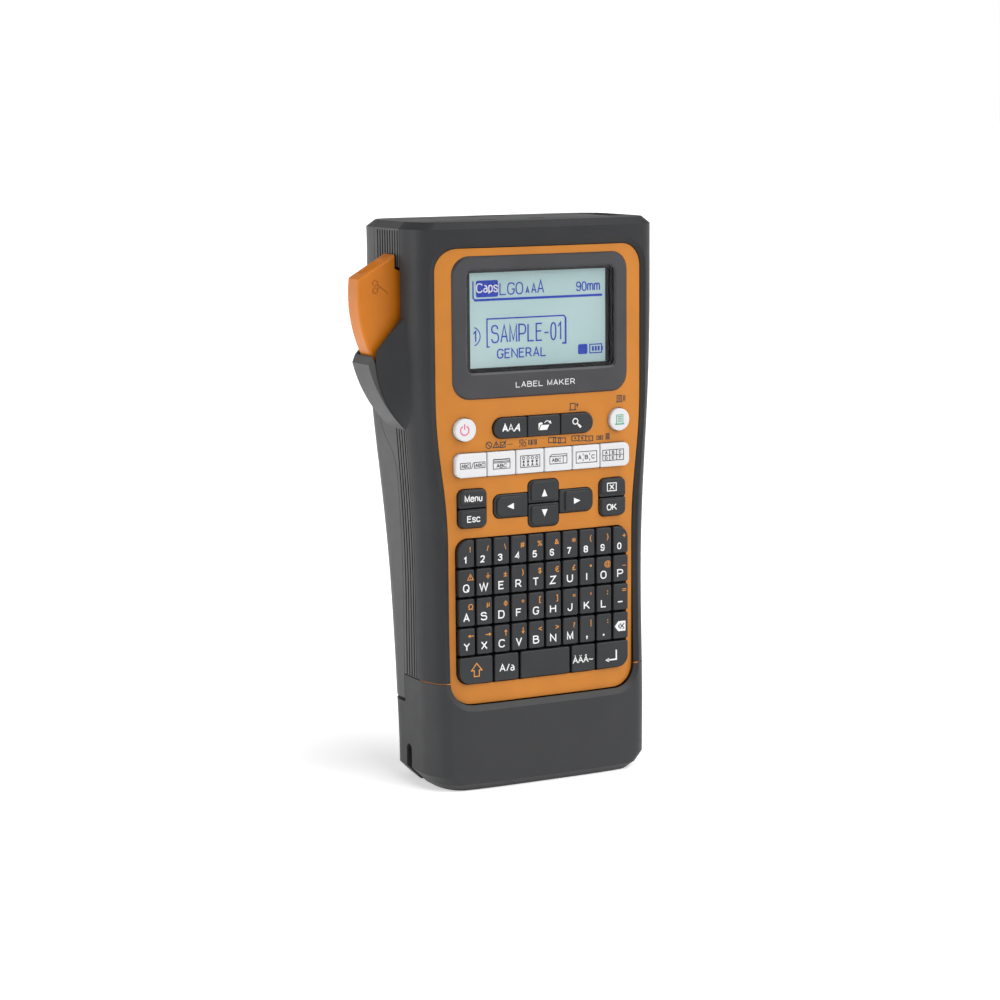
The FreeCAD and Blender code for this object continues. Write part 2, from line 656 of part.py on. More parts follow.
def build_chassis():
    """Frame plate with the deck, posts and ledges that carry the moving pieces."""
    back = CHASSIS_Y[1]
    plate = rounded_box((-47.0, 37.2, 47.0, 226.0), 6.0, *CHASSIS_Y)
    for x0, x1 in ((-60, -44.0), (44.0, 60)):
        plate = plate.cut(box(x0, x1, -20, 0, 30, 112))
    deck = polygon([(4, 137), (50, 137), (50, 200), (4, 200)], *DECK_Y)
    standoffs = [rod(x, z, 1.8, back, DECK_Y[0]) for x, z in ((7, 140), (47, 142), (30, 197), (7, 197))]
    idler_x, idler_z = idler_axis()
    posts = standoffs + [
        rod(idler_x, idler_z, 1.5, back, DECK_Y[0]),
        rod(*PLATEN_PIVOT, 1.5, DECK_Y[1], 23.4),
        box(-39.0, -31.0, back, 0.8, 160.4, 162.0),
        box(20.0, 32.0, back, 0.2, 224.3, 225.6),
        box(20.0, 32.0, back, 0.2, 215.8, 217.1),
        rod(*LINK_PIVOT, 1.5, back, 0.6),
        box(-24.0, 24.0, back, -8.4, 48.6, 49.6),
    ]
    chassis = join([plate, deck] + posts)
    take_up_x, take_up_z = take_up_axis()
    clearances = [
        rod(*LEVER_PIVOT, 2.0, CHASSIS_Y[0] - 1, back + 1),
        rod(take_up_x, take_up_z, 2.8, *DECK_Y),
        rod(*MOTOR_AXIS, 1.6, *DECK_Y),
        rod(*ROLLER_AXIS, 2.8, *DECK_Y),
    ]
    clearances += [rod(x, z, SCREW_RADIUS + RUNNING_FIT, CHASSIS_Y[0] - 1, back + 1) for x, z in SCREW_POSTS]
    return chassis.cut(Part.makeCompound(clearances))


# ---------------------------------------------------------------- gears and print drive

def pitch_radius(teeth):
    return MODULE * teeth / 2


def idler_axis():
    """Centre of the idler, in mesh with both the motor pinion and the roller gear."""
    reach = pitch_radius(IDLER_TEETH) + pitch_radius(SMALL_TEETH)
    dx, dz = ROLLER_AXIS[0] - MOTOR_AXIS[0], ROLLER_AXIS[1] - MOTOR_AXIS[1]
    span = math.hypot(dx, dz)
    offset = math.sqrt(reach ** 2 - (span / 2) ** 2)
    return (MOTOR_AXIS[0] + dx / 2 - offset * dz / span, MOTOR_AXIS[1] + dz / 2 + offset * dx / span)


def take_up_axis():
    reach = pitch_radius(IDLER_TEETH) + pitch_radius(SMALL_TEETH)
    a = math.radians(TAKE_UP_DIRECTION_DEG)
    x, z = idler_axis()
    return (x + reach * math.cos(a), z + reach * math.sin(a))


def gear(centre, teeth, phase, bore, y0, y1):
    """Involute spur gear; phase is the angle of one tooth's centre."""
    pressure, backlash = math.radians(20), 0.09
    pitch = pitch_radius(teeth)
    base = pitch * math.cos(pressure)
    root, tip = pitch - 1.25 * MODULE, pitch + 0.85 * MODULE
    half_at_pitch = (math.pi / 2 - backlash) / teeth

    def involute(radius):
        angle = math.acos(base / radius) if radius > base else 0.0
        return math.tan(angle) - angle

    flank = [(r, half_at_pitch + involute(pitch) - involute(r))
             for r in (root, max(root, base), pitch, (pitch + tip) / 2, tip)]
    points = []
    for tooth in range(teeth):
        middle = phase + 2 * math.pi * tooth / teeth
        for r, half in flank:
            points.append((r, middle - half))
        for r, half in flank[::-1]:
            points.append((r, middle + half))
    outline = [V(centre[0] + r * math.cos(a), y0, centre[1] + r * math.sin(a)) for r, a in points]
    clean = [outline[0]]
    for point in outline[1:]:
        if (point - clean[-1]).Length > 1e-4:
            clean.append(point)
    wheel = prism(Part.Face(Part.makePolygon(clean + clean[:1])), V(0, y1 - y0, 0))
    return wheel.cut(rod(centre[0], centre[1], bore, y0, y1)) if bore else wheel


def mating_phase(centre, mate_teeth):
    """Phase that puts a gap of the mating gear on the nearest idler tooth (idler phase 0)."""
    x, z = idler_axis()
    direction = math.atan2(centre[1] - z, centre[0] - x)
    step = 2 * math.pi / IDLER_TEETH
    offset = (-direction) % step
    if offset > step / 2:
        offset -= step
    shift = offset * IDLER_TEETH / mate_teeth
    return direction + math.pi - shift + math.pi / mate_teeth


def build_drive():
    idler_x, idler_z = idler_axis()
    take_up = take_up_axis()
    idler = gear((idler_x, idler_z), IDLER_TEETH, 0.0, 1.5 + RUNNING_FIT, *GEAR_Y)
    windows = [rod(idler_x + 11.5 * math.cos(a), idler_z + 11.5 * math.sin(a), 3.4, *GEAR_Y)
               for a in (math.pi * n / 3 for n in range(6))]
    idler = idler.cut(Part.makeCompound(windows))
    pinion = gear(MOTOR_AXIS, SMALL_TEETH, mating_phase(MOTOR_AXIS, SMALL_TEETH), 0, *GEAR_Y)
    pinion = join([pinion, rod(*MOTOR_AXIS, 1.0, GEAR_Y[1], 3.0)])
    take_up_gear = gear(take_up, SMALL_TEETH, mating_phase(take_up, SMALL_TEETH), 0, *GEAR_Y)
    take_up_gear = join([take_up_gear, rod(*take_up, 2.2, GEAR_Y[1], 12.0)])
    roller_gear = gear(ROLLER_AXIS, SMALL_TEETH, mating_phase(ROLLER_AXIS, SMALL_TEETH), 0, *GEAR_Y)
    roller = join([roller_gear, rod(*ROLLER_AXIS, 1.0, GEAR_Y[1], 22.8),
                   rod(*ROLLER_AXIS, ROLLER_RADIUS, 2.2, 21.0)])

    x, z = MOTOR_AXIS
    motor = rod(x, z, 8.0, DECK_Y[1], 19.0).common(box(x - 6.5, x + 6.5, -10, 30, z - 9, z + 9))
    motor = motor.cut(rod(x, z, 1.0 + RUNNING_FIT, DECK_Y[1], 4.0))
    motor = join([motor, rod(x, z, 2.6, 19.0, 20.2)])

    cheeks = []
    for y0, y1 in ((0.3, 1.4), (21.6, 22.7)):
        px, pz = PLATEN_PIVOT
        cheeks.append(polygon([(px - 1.7, pz - 1.7), (46.4, 183.2), (52.0, 182.0), (52.0, 189.0),
                               (49.0, 189.0), (px + 1.7, pz + 2.0)], y0, y1))
        cheeks.append(rod(px, pz, 2.6, y0, y1))
    spine = box(51.0, 52.0, 0.3, 22.7, 182.0, 189.0)
    arm = join(cheeks + [spine])
    arm = arm.cut(Part.makeCompound([rod(*PLATEN_PIVOT, 1.5 + RUNNING_FIT, 0, 24),
                                     rod(*ROLLER_AXIS, 1.0 + RUNNING_FIT, 0, 24)]))

    head = box(42.2, TAPE_X - 0.7, 2.4, 20.8, 179.0, 191.5)
    head = join([head, box(44.2, TAPE_X - 0.3, 2.4, 20.8, 184.6, 187.4)])
    sink = box(38.8, 42.2, 2.4, 20.8, 179.0, 191.5)
    fins = [box(38.8, 41.2, 1, 22, 180.5 + 2.4 * n, 181.7 + 2.4 * n) for n in range(5)]
    sink = sink.cut(Part.makeCompound(fins))
    foot = box(39.0, 43.4, DECK_Y[1], 2.4, 179.0, 183.6)
    sink = join([sink, foot])
    return {"idler_gear": idler, "motor_pinion": pinion, "take_up_gear": take_up_gear,
            "platen_roller": roller, "drive_motor": motor, "platen_arm": arm,
            "print_head": head.cut(foot), "heat_sink": sink}


def build_cassette():
    x0, z0, x1, z1 = CASSETTE_BOX
    y0, y1 = CASSETTE_Y
    t = CASSETTE_WALL
    shell = rounded_box(CASSETTE_BOX, 3.0, y0, y1)
    shell = shell.makeFillet(0.8, front_edges(shell, y1))
    hollow = rounded_box((x0 + t, z0 + t, x1 - t, z1 - t), 2.0, y0 + t, y1 - t)
    shell = shell.cut(hollow)
    tape_x, tape_z, tape_r = TAPE_ROLL
    core = rod(tape_x, tape_z, 5.0, y0 + t, y1 - t)
    take_up = take_up_axis()
    shell = join([shell, core]).cut(rod(*take_up, 3.2, y0 - 1, y0 + t + 0.1))
    mouth = box(x1 - t - 1, x1 + 1, y0 + t, y1 - t, z0 + 8.0, z0 + 10.0)
    shell = shell.cut(mouth)
    gap = 0.4
    tape = rod(tape_x, tape_z, tape_r, y0 + t + gap, y1 - t - gap)
    tape = tape.cut(rod(tape_x, tape_z, 5.0 + RUNNING_FIT, y0, y1))
    ribbon = rod(*take_up, 6.0, y0 + t + gap, y1 - t - gap).cut(rod(*take_up, 2.2 + RUNNING_FIT, y0, 12.3))
    return {"cassette_shell": shell, "tape_spool": tape, "ribbon_spool": ribbon}


# ---------------------------------------------------------------- cutter

SCISSOR_RINGS = [(-65.3, 206.9), (-65.3, 203.9)]
SCISSOR_TIPS = [(-59.9, 202.6), (-59.9, 207.7)]
SCISSOR_DEPTH = 0.35


def scissors_mark():
    """Scissors engraved in the front of the lever: two finger rings and two crossed blades."""
    y0, y1 = LEVER_Y[0] - 0.5, LEVER_Y[0] + SCISSOR_DEPTH
    strokes = []
    for (ring_x, ring_z), (tip_x, tip_z) in zip(SCISSOR_RINGS, SCISSOR_TIPS):
        strokes.append(rod(ring_x, ring_z, 1.3, y0, y1).cut(rod(ring_x, ring_z, 0.75, y0, y1)))
        lean = math.copysign(1.0, ring_z - tip_z)
        start_x, start_z = ring_x + 0.95, ring_z - 0.65 * lean
        strokes.append(polygon([(start_x, start_z - 0.3), (tip_x, tip_z), (tip_x - 0.5, tip_z + 0.75 * lean),
                                (start_x, start_z + 0.3)], y0, y1))
    return join(strokes)


def build_lever():
    """Thumb lever with its hub, arm, wall shield and the finger that lifts the link."""
    start, end = 172.8, 214.0
    y0, y1 = LEVER_Y
    top, step = V(-56.6, y0, 217.9), V(-56.6, y0, 212.2)
    tip_high, tip_low = polar(start, LEVER_RADIUS, y0), polar(end, LEVER_RADIUS, y0)
    face = Part.Face(Part.Wire([
        line(top, tip_high),
        Part.Arc(tip_high, polar((start + end) / 2, LEVER_RADIUS, y0), tip_low).toShape(),
        line(tip_low, polar(end, 37.0, y0)),
        Part.Arc(polar(end, 37.0, y0), polar(190, 37.0, y0), polar(166, 37.0, y0)).toShape(),
        line(polar(166, 37.0, y0), step),
        line(step, top),
    ]))
    handle = prism(face, V(0, y1 - y0, 0))
    outer = [e for e in handle.Edges if e.CenterOfMass.x < -57.5 and e.CenterOfMass.z > 178]
    handle = handle.makeFillet(1.1, outer)
    slope = V(tip_high.x - top.x, 0, tip_high.z - top.z)
    along = V(slope).normalize()
    normal = V(along.z, 0, -along.x)
    middle = V(top.x + slope.x * 0.52, (y0 + y1) / 2, top.z + slope.z * 0.52)
    dish = Part.makeSphere(1.0)
    stretch = FreeCAD.Matrix()
    stretch.scale(5.6, 4.1, 1.5)
    dish = dish.transformGeometry(stretch)
    tilt = math.degrees(math.atan2(along.z, -along.x))
    dish.rotate(V(0, 0, 0), V(0, 1, 0), tilt)
    dish.translate(middle)
    handle = handle.cut(dish)
    shield = sector(35.2, 37.0, 158, end, y0, y1)
    arm = sector(3.0, 36.0, 172, 196, *LEVER_ARM_Y)
    rim = sector(33.0, 37.0, 166, end - 2, LEVER_ARM_Y[0], y0 + 0.4)
    hub = rod(*LEVER_PIVOT, 5.0, *LEVER_ARM_Y)
    pad = polar(8, 15.0)
    finger = polygon([(LEVER_PIVOT[0], 198.5), (LEVER_PIVOT[0], 204.9), (pad.x, pad.z + 1.4),
                      (pad.x, pad.z - 1.4)], *LEVER_ARM_Y)
    tip = rod(pad.x, pad.z, 1.6, *LEVER_ARM_Y)
    lever = join([handle, shield, arm, rim, hub, finger, tip])
    return lever.cut(rod(*LEVER_PIVOT, 2.0 + RUNNING_FIT, -10, 5)).cut(scissors_mark())


def coil(centre, z0, z1, radius, wire, turns):
    helix = Part.makeHelix((z1 - z0 - wire) / turns, z1 - z0 - wire, radius)
    section = Part.Wire(Part.makeCircle(wire / 2, V(radius, 0, 0), V(0, 1, 0)))
    spring = Part.Wire(helix.Edges).makePipeShell([section], True, True)
    spring.translate(V(centre[0], centre[1], z0 + wire / 2))
    return spring


def build_cutter():
    x, z = LEVER_PIVOT
    pin = join([rod(x, z, 2.0, CHASSIS_Y[0], 0.7), rod(x, z, 3.2, 0.7, 1.2)])
    lx, lz = LINK_PIVOT
    pads = [rod(-1.2, 207.3, 1.6, *LEVER_ARM_Y), rod(lx, lz + 9.5, 1.6, *LEVER_ARM_Y)]
    arms = [polygon([(lx, lz - 2.8), (lx, lz + 1.6), (-1.2, 208.7), (-1.2, 205.9)], *LEVER_ARM_Y),
            polygon([(lx - 1.8, lz), (lx + 1.8, lz), (lx + 1.3, lz + 9.5), (lx - 1.3, lz + 9.5)], *LEVER_ARM_Y)]
    link = join([rod(lx, lz, 3.4, *LEVER_ARM_Y)] + pads + arms)
    link = link.cut(rod(lx, lz, 1.5 + RUNNING_FIT, -10, 5))
    carrier = box(10.0, 38.0, LEVER_ARM_Y[0], LEVER_ARM_Y[1], 217.4, 224.0)
    carrier = join([carrier, box(34.0, 40.0, LEVER_ARM_Y[0], 24.0, 217.6, 223.0)])
    carrier = carrier.cut(box(lx - 2.1, lx + 2.1, -5, 2, 217, 221.8))
    blade = polygon([(36.0, 220.1), (42.6, 220.1), (43.4, 220.3), (42.6, 220.5), (36.0, 220.5)], 2.5, 23.5)
    carrier = carrier.cut(polygon([(35.9, 220.1), (40.5, 220.1), (40.5, 220.5), (35.9, 220.5)], 2.5, 23.5))
    spring = coil((-35.0, -1.6), 162.0, 195.4, 2.1, 0.5, 14)
    return {"lever_pivot_pin": pin, "cutter_link": link, "blade_carrier": carrier,
            "cutter_blade": blade, "cutter_spring": spring, "cutter_lever": build_lever()}


# ---------------------------------------------------------------- power, boards, fasteners

BATTERY_BOX = (-36.0, -3.0, 52.0, 36.0, 16.5, 131.0)     # x0, y0, z0, x1, y1, z1
PORT_CENTRE = (4.0, 20.0)                                # y, z on the right side of the base


def build_power():
    x0, y0, z0, x1, y1, z1 = BATTERY_BOX
    pack = rounded_box((x0, z0, x1, z1), 3.0, y0, y1)
    pack = pack.makeFillet(1.5, front_edges(pack, y1))
    grooves = [box(x0 + 8, x1 - 8, y1 - 0.6, y1 + 1, z0 + 12 + n * 4, z0 + 13.4 + n * 4) for n in range(4)]
    pack = pack.cut(Part.makeCompound(grooves))
    blades = [box(x - 2.5, x + 2.5, 1.0, 9.0, z0 - 2.6, z0 - 0.2) for x in (-12, 0, 12)]
    carrier = box(-18.0, 18.0, -0.5, 10.5, z0 - 5.0, z0 - 2.6)
    contacts = join(blades + [carrier])
    board = box(-38.0, 38.0, -8.2, -6.8, 51.0, 128.0)
    chips = [box(x, x + w, -6.8, -5.2, z, z + h) for x, z, w, h in
             ((-24, 100, 14, 14), (2, 104, 10, 8), (-30, 70, 8, 12), (10, 64, 16, 10), (24, 92, 7, 7))]
    board = join([board] + chips)
    py, pz = PORT_CENTRE
    port = box(41.0, 48.3, py - 4.6, py + 4.6, pz - 2.0, pz + 2.0)
    port = port.cut(box(43.0, 49.0, py - 4.0, py + 4.0, pz - 1.4, pz + 1.4))
    return {"battery_pack": pack, "battery_contacts": contacts, "main_board": board, "power_port": port}


def build_screws():
    """Six behind the face, two under the foot of the rear side."""
    y = CHASSIS_Y[1]
    screws = []
    for x, z in SCREW_POSTS:
        screw = join([rod(x, z, SCREW_RADIUS, CHASSIS_Y[0] - 4, y), rod(x, z, 2.0, y, y + 1.0)])
        screws.append(screw.cut(box(x - 1.5, x + 1.5, y + 0.5, y + 2, z - 0.3, z + 0.3)))
    for x, z in BASE_SCREWS:
        screw = join([rod(x, z, 1.3, 14.0, 21.4), rod(x, z, 2.4, 21.4, 22.8)])
        slots = [box(x - 1.6, x + 1.6, 22.0, 24, z - 0.3, z + 0.3), box(x - 0.3, x + 0.3, 22.0, 24, z - 1.6, z + 1.6)]
        screws.append(screw.cut(Part.makeCompound(slots)))
    return Part.makeCompound(screws)


# ---------------------------------------------------------------- fittings on the casings

LUG_CENTRES = (-30.0, 30.0)
LATCH = (-8.5, 8.5, 27.0, 33.0)          # x0, x1, y0, y1 in the cover's top
STRAP_BAR = (-46.6, 9.0, 1.3)            # x, z, radius; it runs along Y


def fit_base(base):
    """Strap pocket, cover ears, screw bosses and the port opening."""
    y0, y1, z0, z1 = STRAP_SLOT
    inner = body(WALL - 0.1)
    pocket = box(-49.5, -39.5, y0 - 2.0, y1 + 2.0, 0.2, z1 + 2.0).common(inner)
    ears = [box(x - 5.8, x + 5.8, 18.6, 23.0, 27.0, BASE_REAR_TOP_Z) for x in LUG_CENTRES]
    bosses = [rod(x, z, 3.0, 14.0, 22.5) for x, z in BASE_SCREWS]
    additions = [pocket] + [part.common(inner) for part in ears + bosses]
    base = base.multiFuse(additions)
    slot_top = z1 - (y1 - y0) / 2
    slot = box(-70, -50.4 + STRAP_DEPTH, y0, y1, z0, slot_top)
    slot = slot.fuse(rod_x((y0 + y1) / 2, slot_top, (y1 - y0) / 2, -70, -50.4 + STRAP_DEPTH))
    x, z, r = STRAP_BAR
    cuts = [slot, rod(x, z, r, y0 - 1.2, y1 + 1.2)]
    for lug_x in LUG_CENTRES:
        cuts.append(box(lug_x - 3.4, lug_x + 3.4, 17.0, 30.0, 26.5, BASE_REAR_TOP_Z + 1))
        cuts.append(rod_x(HINGE_Y, HINGE_Z, HINGE_PIN_R, lug_x - 5.2, lug_x + 5.2))
    for screw_x, screw_z in BASE_SCREWS:
        cuts.append(rod(screw_x, screw_z, 1.3, 13.0, 22.0))
        cuts.append(rod(screw_x, screw_z, 2.7, 21.4, 26.0))
    py, pz = PORT_CENTRE
    cuts.append(box(48.0, 52.0, py - 5.0, py + 5.0, pz - 2.4, pz + 2.4))
    return base.cut(Part.makeCompound(cuts))


def fit_cover(cover):
    """Hinge lugs at the lower edge and the latch opening at the top."""
    inner = body(0.3).common(cover_region(-10))
    parts = [cover]
    for x in LUG_CENTRES:
        blade = box(x - 3.0, x + 3.0, HINGE_Y - 1.2, 24.0, HINGE_Z, COVER_BOTTOM_Z + 4.0)
        parts.append(join([blade, rod_x(HINGE_Y, HINGE_Z, 2.2, x - 3.0, x + 3.0)]).common(inner))
    cover = join(parts)
    x0, x1, y0, y1 = LATCH
    cuts = [rod_x(HINGE_Y, HINGE_Z, HINGE_PIN_R + RUNNING_FIT, x - 4, x + 4) for x in LUG_CENTRES]
    cuts.append(box(x0 - 0.3, x1 + 0.3, y0 - 0.3, y1 + 0.3, TOP_Z - 5, TOP_Z + 1))
    return cover.cut(Part.makeCompound(cuts))


def build_fittings():
    x0, x1, y0, y1 = LATCH
    button = box(x0, x1, y0, y1, TOP_Z - 4.4, TOP_Z - 0.3)
    flange = box(x0 - 1.6, x1 + 1.6, y0 - 1.2, y1 + 0.9, TOP_Z - 4.4, TOP_Z - 3.0)
    ridges = [box(x0 + 1.5, x1 - 1.5, y0 + 1.0 + n * 1.2, y0 + 1.6 + n * 1.2, TOP_Z - 0.7, TOP_Z) for n in range(4)]
    latch = join([button, flange]).cut(Part.makeCompound(ridges))
    pins = [rod_x(HINGE_Y, HINGE_Z, HINGE_PIN_R, x - 5.2, x + 5.2) for x in LUG_CENTRES]
    x, z, r = STRAP_BAR
    bar = rod(x, z, r, STRAP_SLOT[0] - 1.2, STRAP_SLOT[1] + 1.2)
    return {"cover_latch": latch, "cover_hinge_pin": Part.makeCompound(pins), "strap_bar": bar}


# ---------------------------------------------------------------- everything

def build_all():
    front, rear, base, cover = build_casings()
    bezel, window, module = build_screen()
    mat, board = build_key_stack()
    nodes = {
        "front_casing": front,
        "rear_casing": rear,
        "base_cap": fit_base(base),
        "rear_cover": fit_cover(cover),
        "face_panel": build_face_panel(),
        "screen_bezel": bezel,
        "screen_window": window,
        "display_module": module,
        "keypad_mat": mat,
        "key_board": board,
        "chassis_frame": build_chassis(),
        "casing_screws": build_screws(),
    }
    nodes.update(build_symbol_keys())
    for row in range(1, 6):
        nodes["key_row_%d" % row] = build_key_row(row)
    for group in (build_fittings, build_cutter, build_drive, build_cassette, build_power):
        nodes.update(group())
    return nodes


def write_all(nodes):
    os.makedirs("parts", exist_ok=True)
    for name, shape in nodes.items():
        shape.exportStep(os.path.join("parts", name + ".step"))


write_all(build_all())
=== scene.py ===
import json
import math
import bpy
import bmesh
from mathutils import Matrix, Vector


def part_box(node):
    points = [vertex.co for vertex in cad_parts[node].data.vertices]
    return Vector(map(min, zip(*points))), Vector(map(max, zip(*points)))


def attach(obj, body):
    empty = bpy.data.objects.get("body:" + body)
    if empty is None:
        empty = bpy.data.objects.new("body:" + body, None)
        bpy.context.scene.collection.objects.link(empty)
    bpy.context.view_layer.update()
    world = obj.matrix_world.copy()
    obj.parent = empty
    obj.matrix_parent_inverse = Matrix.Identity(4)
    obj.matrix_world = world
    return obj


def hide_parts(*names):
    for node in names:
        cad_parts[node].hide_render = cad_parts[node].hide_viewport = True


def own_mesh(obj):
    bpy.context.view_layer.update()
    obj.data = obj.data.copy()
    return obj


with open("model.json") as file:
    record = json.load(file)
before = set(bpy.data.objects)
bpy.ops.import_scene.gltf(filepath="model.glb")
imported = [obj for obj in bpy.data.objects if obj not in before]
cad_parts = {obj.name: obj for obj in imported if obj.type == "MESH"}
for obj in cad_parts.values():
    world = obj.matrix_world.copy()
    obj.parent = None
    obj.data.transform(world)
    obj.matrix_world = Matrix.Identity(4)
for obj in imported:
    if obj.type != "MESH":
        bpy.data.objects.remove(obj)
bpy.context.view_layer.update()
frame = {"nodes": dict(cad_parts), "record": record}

MM = 0.001
NODES = frame["nodes"]


# ---------------------------------------------------------------- materials

def new_material(name):
    """An empty node material with a Principled shader; returns (material, nodes, links, shader)."""
    material = bpy.data.materials.new(name)
    material.use_nodes = True
    tree = material.node_tree
    shader = next(n for n in tree.nodes if n.type == "BSDF_PRINCIPLED")
    return material, tree.nodes, tree.links, shader


def noise(nodes, links, scale, detail=2.0, stretch=(1, 1, 1)):
    """Noise texture that stays with the object, stretched along its axes."""
    texture = nodes.new("ShaderNodeTexNoise")
    texture.inputs["Scale"].default_value = scale
    texture.inputs["Detail"].default_value = detail
    mapping = nodes.new("ShaderNodeMapping")
    mapping.inputs["Scale"].default_value = stretch
    coords = nodes.new("ShaderNodeTexCoord")
    links.new(coords.outputs["Object"], mapping.inputs["Vector"])
    links.new(mapping.outputs["Vector"], texture.inputs["Vector"])
    return texture


def colour_mix(nodes, links, factor, low, high, a=0.35, b=0.65):
    """Colour ramp between two colours over part of a noise's range."""
    ramp = nodes.new("ShaderNodeValToRGB")
    ramp.color_ramp.elements[0].position = a
    ramp.color_ramp.elements[0].color = (*low, 1)
    ramp.color_ramp.elements[1].position = b
    ramp.color_ramp.elements[1].color = (*high, 1)
    links.new(factor, ramp.inputs["Fac"])
    return ramp


def scaled(colour, factor):
    return tuple(min(1.0, c * factor) for c in colour)


def moulded(name, colour, roughness, grain=0.00004, grain_scale=2600, mottle=0.10, shine=0.5):
    """Moulded plastic or rubber: spark-eroded grain, faint mottling and uneven gloss."""
    material, nodes, links, shader = new_material(name)
    cloud = noise(nodes, links, 55, 4)
    ramp = colour_mix(nodes, links, cloud.outputs["Fac"],
                      scaled(colour, 1 - mottle), scaled(colour, 1 + mottle))
    links.new(ramp.outputs["Color"], shader.inputs["Base Color"])
    gloss = nodes.new("ShaderNodeMapRange")
    gloss.inputs["To Min"].default_value = roughness - 0.05
    gloss.inputs["To Max"].default_value = roughness + 0.07
    patch = noise(nodes, links, 140, 3)
    links.new(patch.outputs["Fac"], gloss.inputs["Value"])
    links.new(gloss.outputs["Result"], shader.inputs["Roughness"])
    fine = noise(nodes, links, grain_scale, 2)
    bump = nodes.new("ShaderNodeBump")
    bump.inputs["Strength"].default_value = 0.5
    bump.inputs["Distance"].default_value = grain
    links.new(fine.outputs["Fac"], bump.inputs["Height"])
    links.new(bump.outputs["Normal"], shader.inputs["Normal"])
    shader.inputs["Specular IOR Level"].default_value = shine
    return material


METAL_STRETCH = (1, 1, 14)


def metal(name, colour, roughness):
    """Metal with a drawn finish along one direction."""
    material, nodes, links, shader = new_material(name)
    streak = noise(nodes, links, 900, 3, stretch=METAL_STRETCH)
    ramp = colour_mix(nodes, links, streak.outputs["Fac"], scaled(colour, 0.82), scaled(colour, 1.1))
    links.new(ramp.outputs["Color"], shader.inputs["Base Color"])
    shader.inputs["Metallic"].default_value = 1.0
    gloss = nodes.new("ShaderNodeMapRange")
    gloss.inputs["To Min"].default_value = roughness - 0.06
    gloss.inputs["To Max"].default_value = roughness + 0.1
    links.new(streak.outputs["Fac"], gloss.inputs["Value"])
    links.new(gloss.outputs["Result"], shader.inputs["Roughness"])
    return material


def clear_window():
    """Thin clear sheet with faint smears in its gloss."""
    material, nodes, links, shader = new_material("clear_window")
    smear = noise(nodes, links, 90, 3)
    ramp = colour_mix(nodes, links, smear.outputs["Fac"], (0.015, 0.018, 0.020), (0.03, 0.034, 0.036))
    links.new(ramp.outputs["Color"], shader.inputs["Base Color"])
    gloss = nodes.new("ShaderNodeMapRange")
    gloss.inputs["To Min"].default_value = 0.04
    gloss.inputs["To Max"].default_value = 0.14
    links.new(smear.outputs["Fac"], gloss.inputs["Value"])
    links.new(gloss.outputs["Result"], shader.inputs["Roughness"])
    shader.inputs["Alpha"].default_value = 0.05
    shader.inputs["Specular IOR Level"].default_value = 0.2
    return material


def lit_glass(name, low, high, glow):
    """Display glass or its ink in uneven tones, with a faint painted glow that brightens it."""
    material, nodes, links, shader = new_material(name)
    cloud = noise(nodes, links, 28, 1, stretch=(1, 1, 1.6))
    ramp = colour_mix(nodes, links, cloud.outputs["Fac"], low, high, 0.3, 0.7)
    links.new(ramp.outputs["Color"], shader.inputs["Base Color"])
    links.new(ramp.outputs["Color"], shader.inputs["Emission Color"])
    # painted light: the emission brightens the display in place of light falling on it
    shader.inputs["Emission Strength"].default_value = glow
    shader.inputs["Roughness"].default_value = 0.35
    return material


CHARCOAL = (0.022, 0.0225, 0.024)
CHARCOAL_BACK = (0.034, 0.034, 0.035)
ORANGE = (0.43, 0.148, 0.010)
LEVER_ORANGE = (0.45, 0.132, 0.004)
KEY_BLACK = (0.018, 0.019, 0.021)
WHITE = (0.54, 0.54, 0.55)

MATERIALS = {
    "front_casing_plastic": moulded("casing_front", CHARCOAL, 0.46, mottle=0.05, shine=0.18),
    "casing_plastic": moulded("casing_rear", CHARCOAL_BACK, 0.48, grain=0.00006, grain_scale=1900,
                              mottle=0.05, shine=0.45),
    "panel_orange": moulded("panel_orange", ORANGE, 0.45, grain=0.00003, mottle=0.05, shine=0.35),
    "lever_orange": moulded("lever_orange", LEVER_ORANGE, 0.36, grain=0.00002, mottle=0.05, shine=0.25),
    "bezel_plastic": moulded("bezel_black", (0.030, 0.030, 0.033), 0.38, grain=0.00002, shine=0.4),
    "window_clear": clear_window(),
    "display": moulded("display_surround", (0.004, 0.004, 0.005), 0.42, grain=0.00001),
    "mat_rubber": moulded("mat_rubber", (0.05, 0.05, 0.055), 0.7),
    "key_rubber": moulded("key_rubber", KEY_BLACK, 0.48, grain=0.00003, shine=0.3),
    "key_white": moulded("key_white", WHITE, 0.48, grain=0.00002, mottle=0.02),
    "circuit_board": moulded("circuit_board", (0.012, 0.10, 0.04), 0.35, mottle=0.25),
    "inner_plastic": moulded("inner_plastic", (0.07, 0.07, 0.075), 0.55),
    "gear_plastic": moulded("gear_plastic", (0.72, 0.70, 0.62), 0.42, mottle=0.04),
    "steel": metal("steel", (0.62, 0.62, 0.64), 0.28),
    "aluminium": metal("aluminium", (0.78, 0.79, 0.80), 0.38),
    "roller_rubber": moulded("roller_rubber", (0.03, 0.03, 0.03), 0.75),
    "label_tape": moulded("label_tape", (0.80, 0.80, 0.77), 0.30, mottle=0.03),
    "ribbon": moulded("ribbon", (0.012, 0.012, 0.014), 0.22),
    "battery_case": moulded("battery_case", (0.04, 0.04, 0.045), 0.45),
    "contact_metal": metal("contact_metal", (0.80, 0.62, 0.30), 0.26),
}
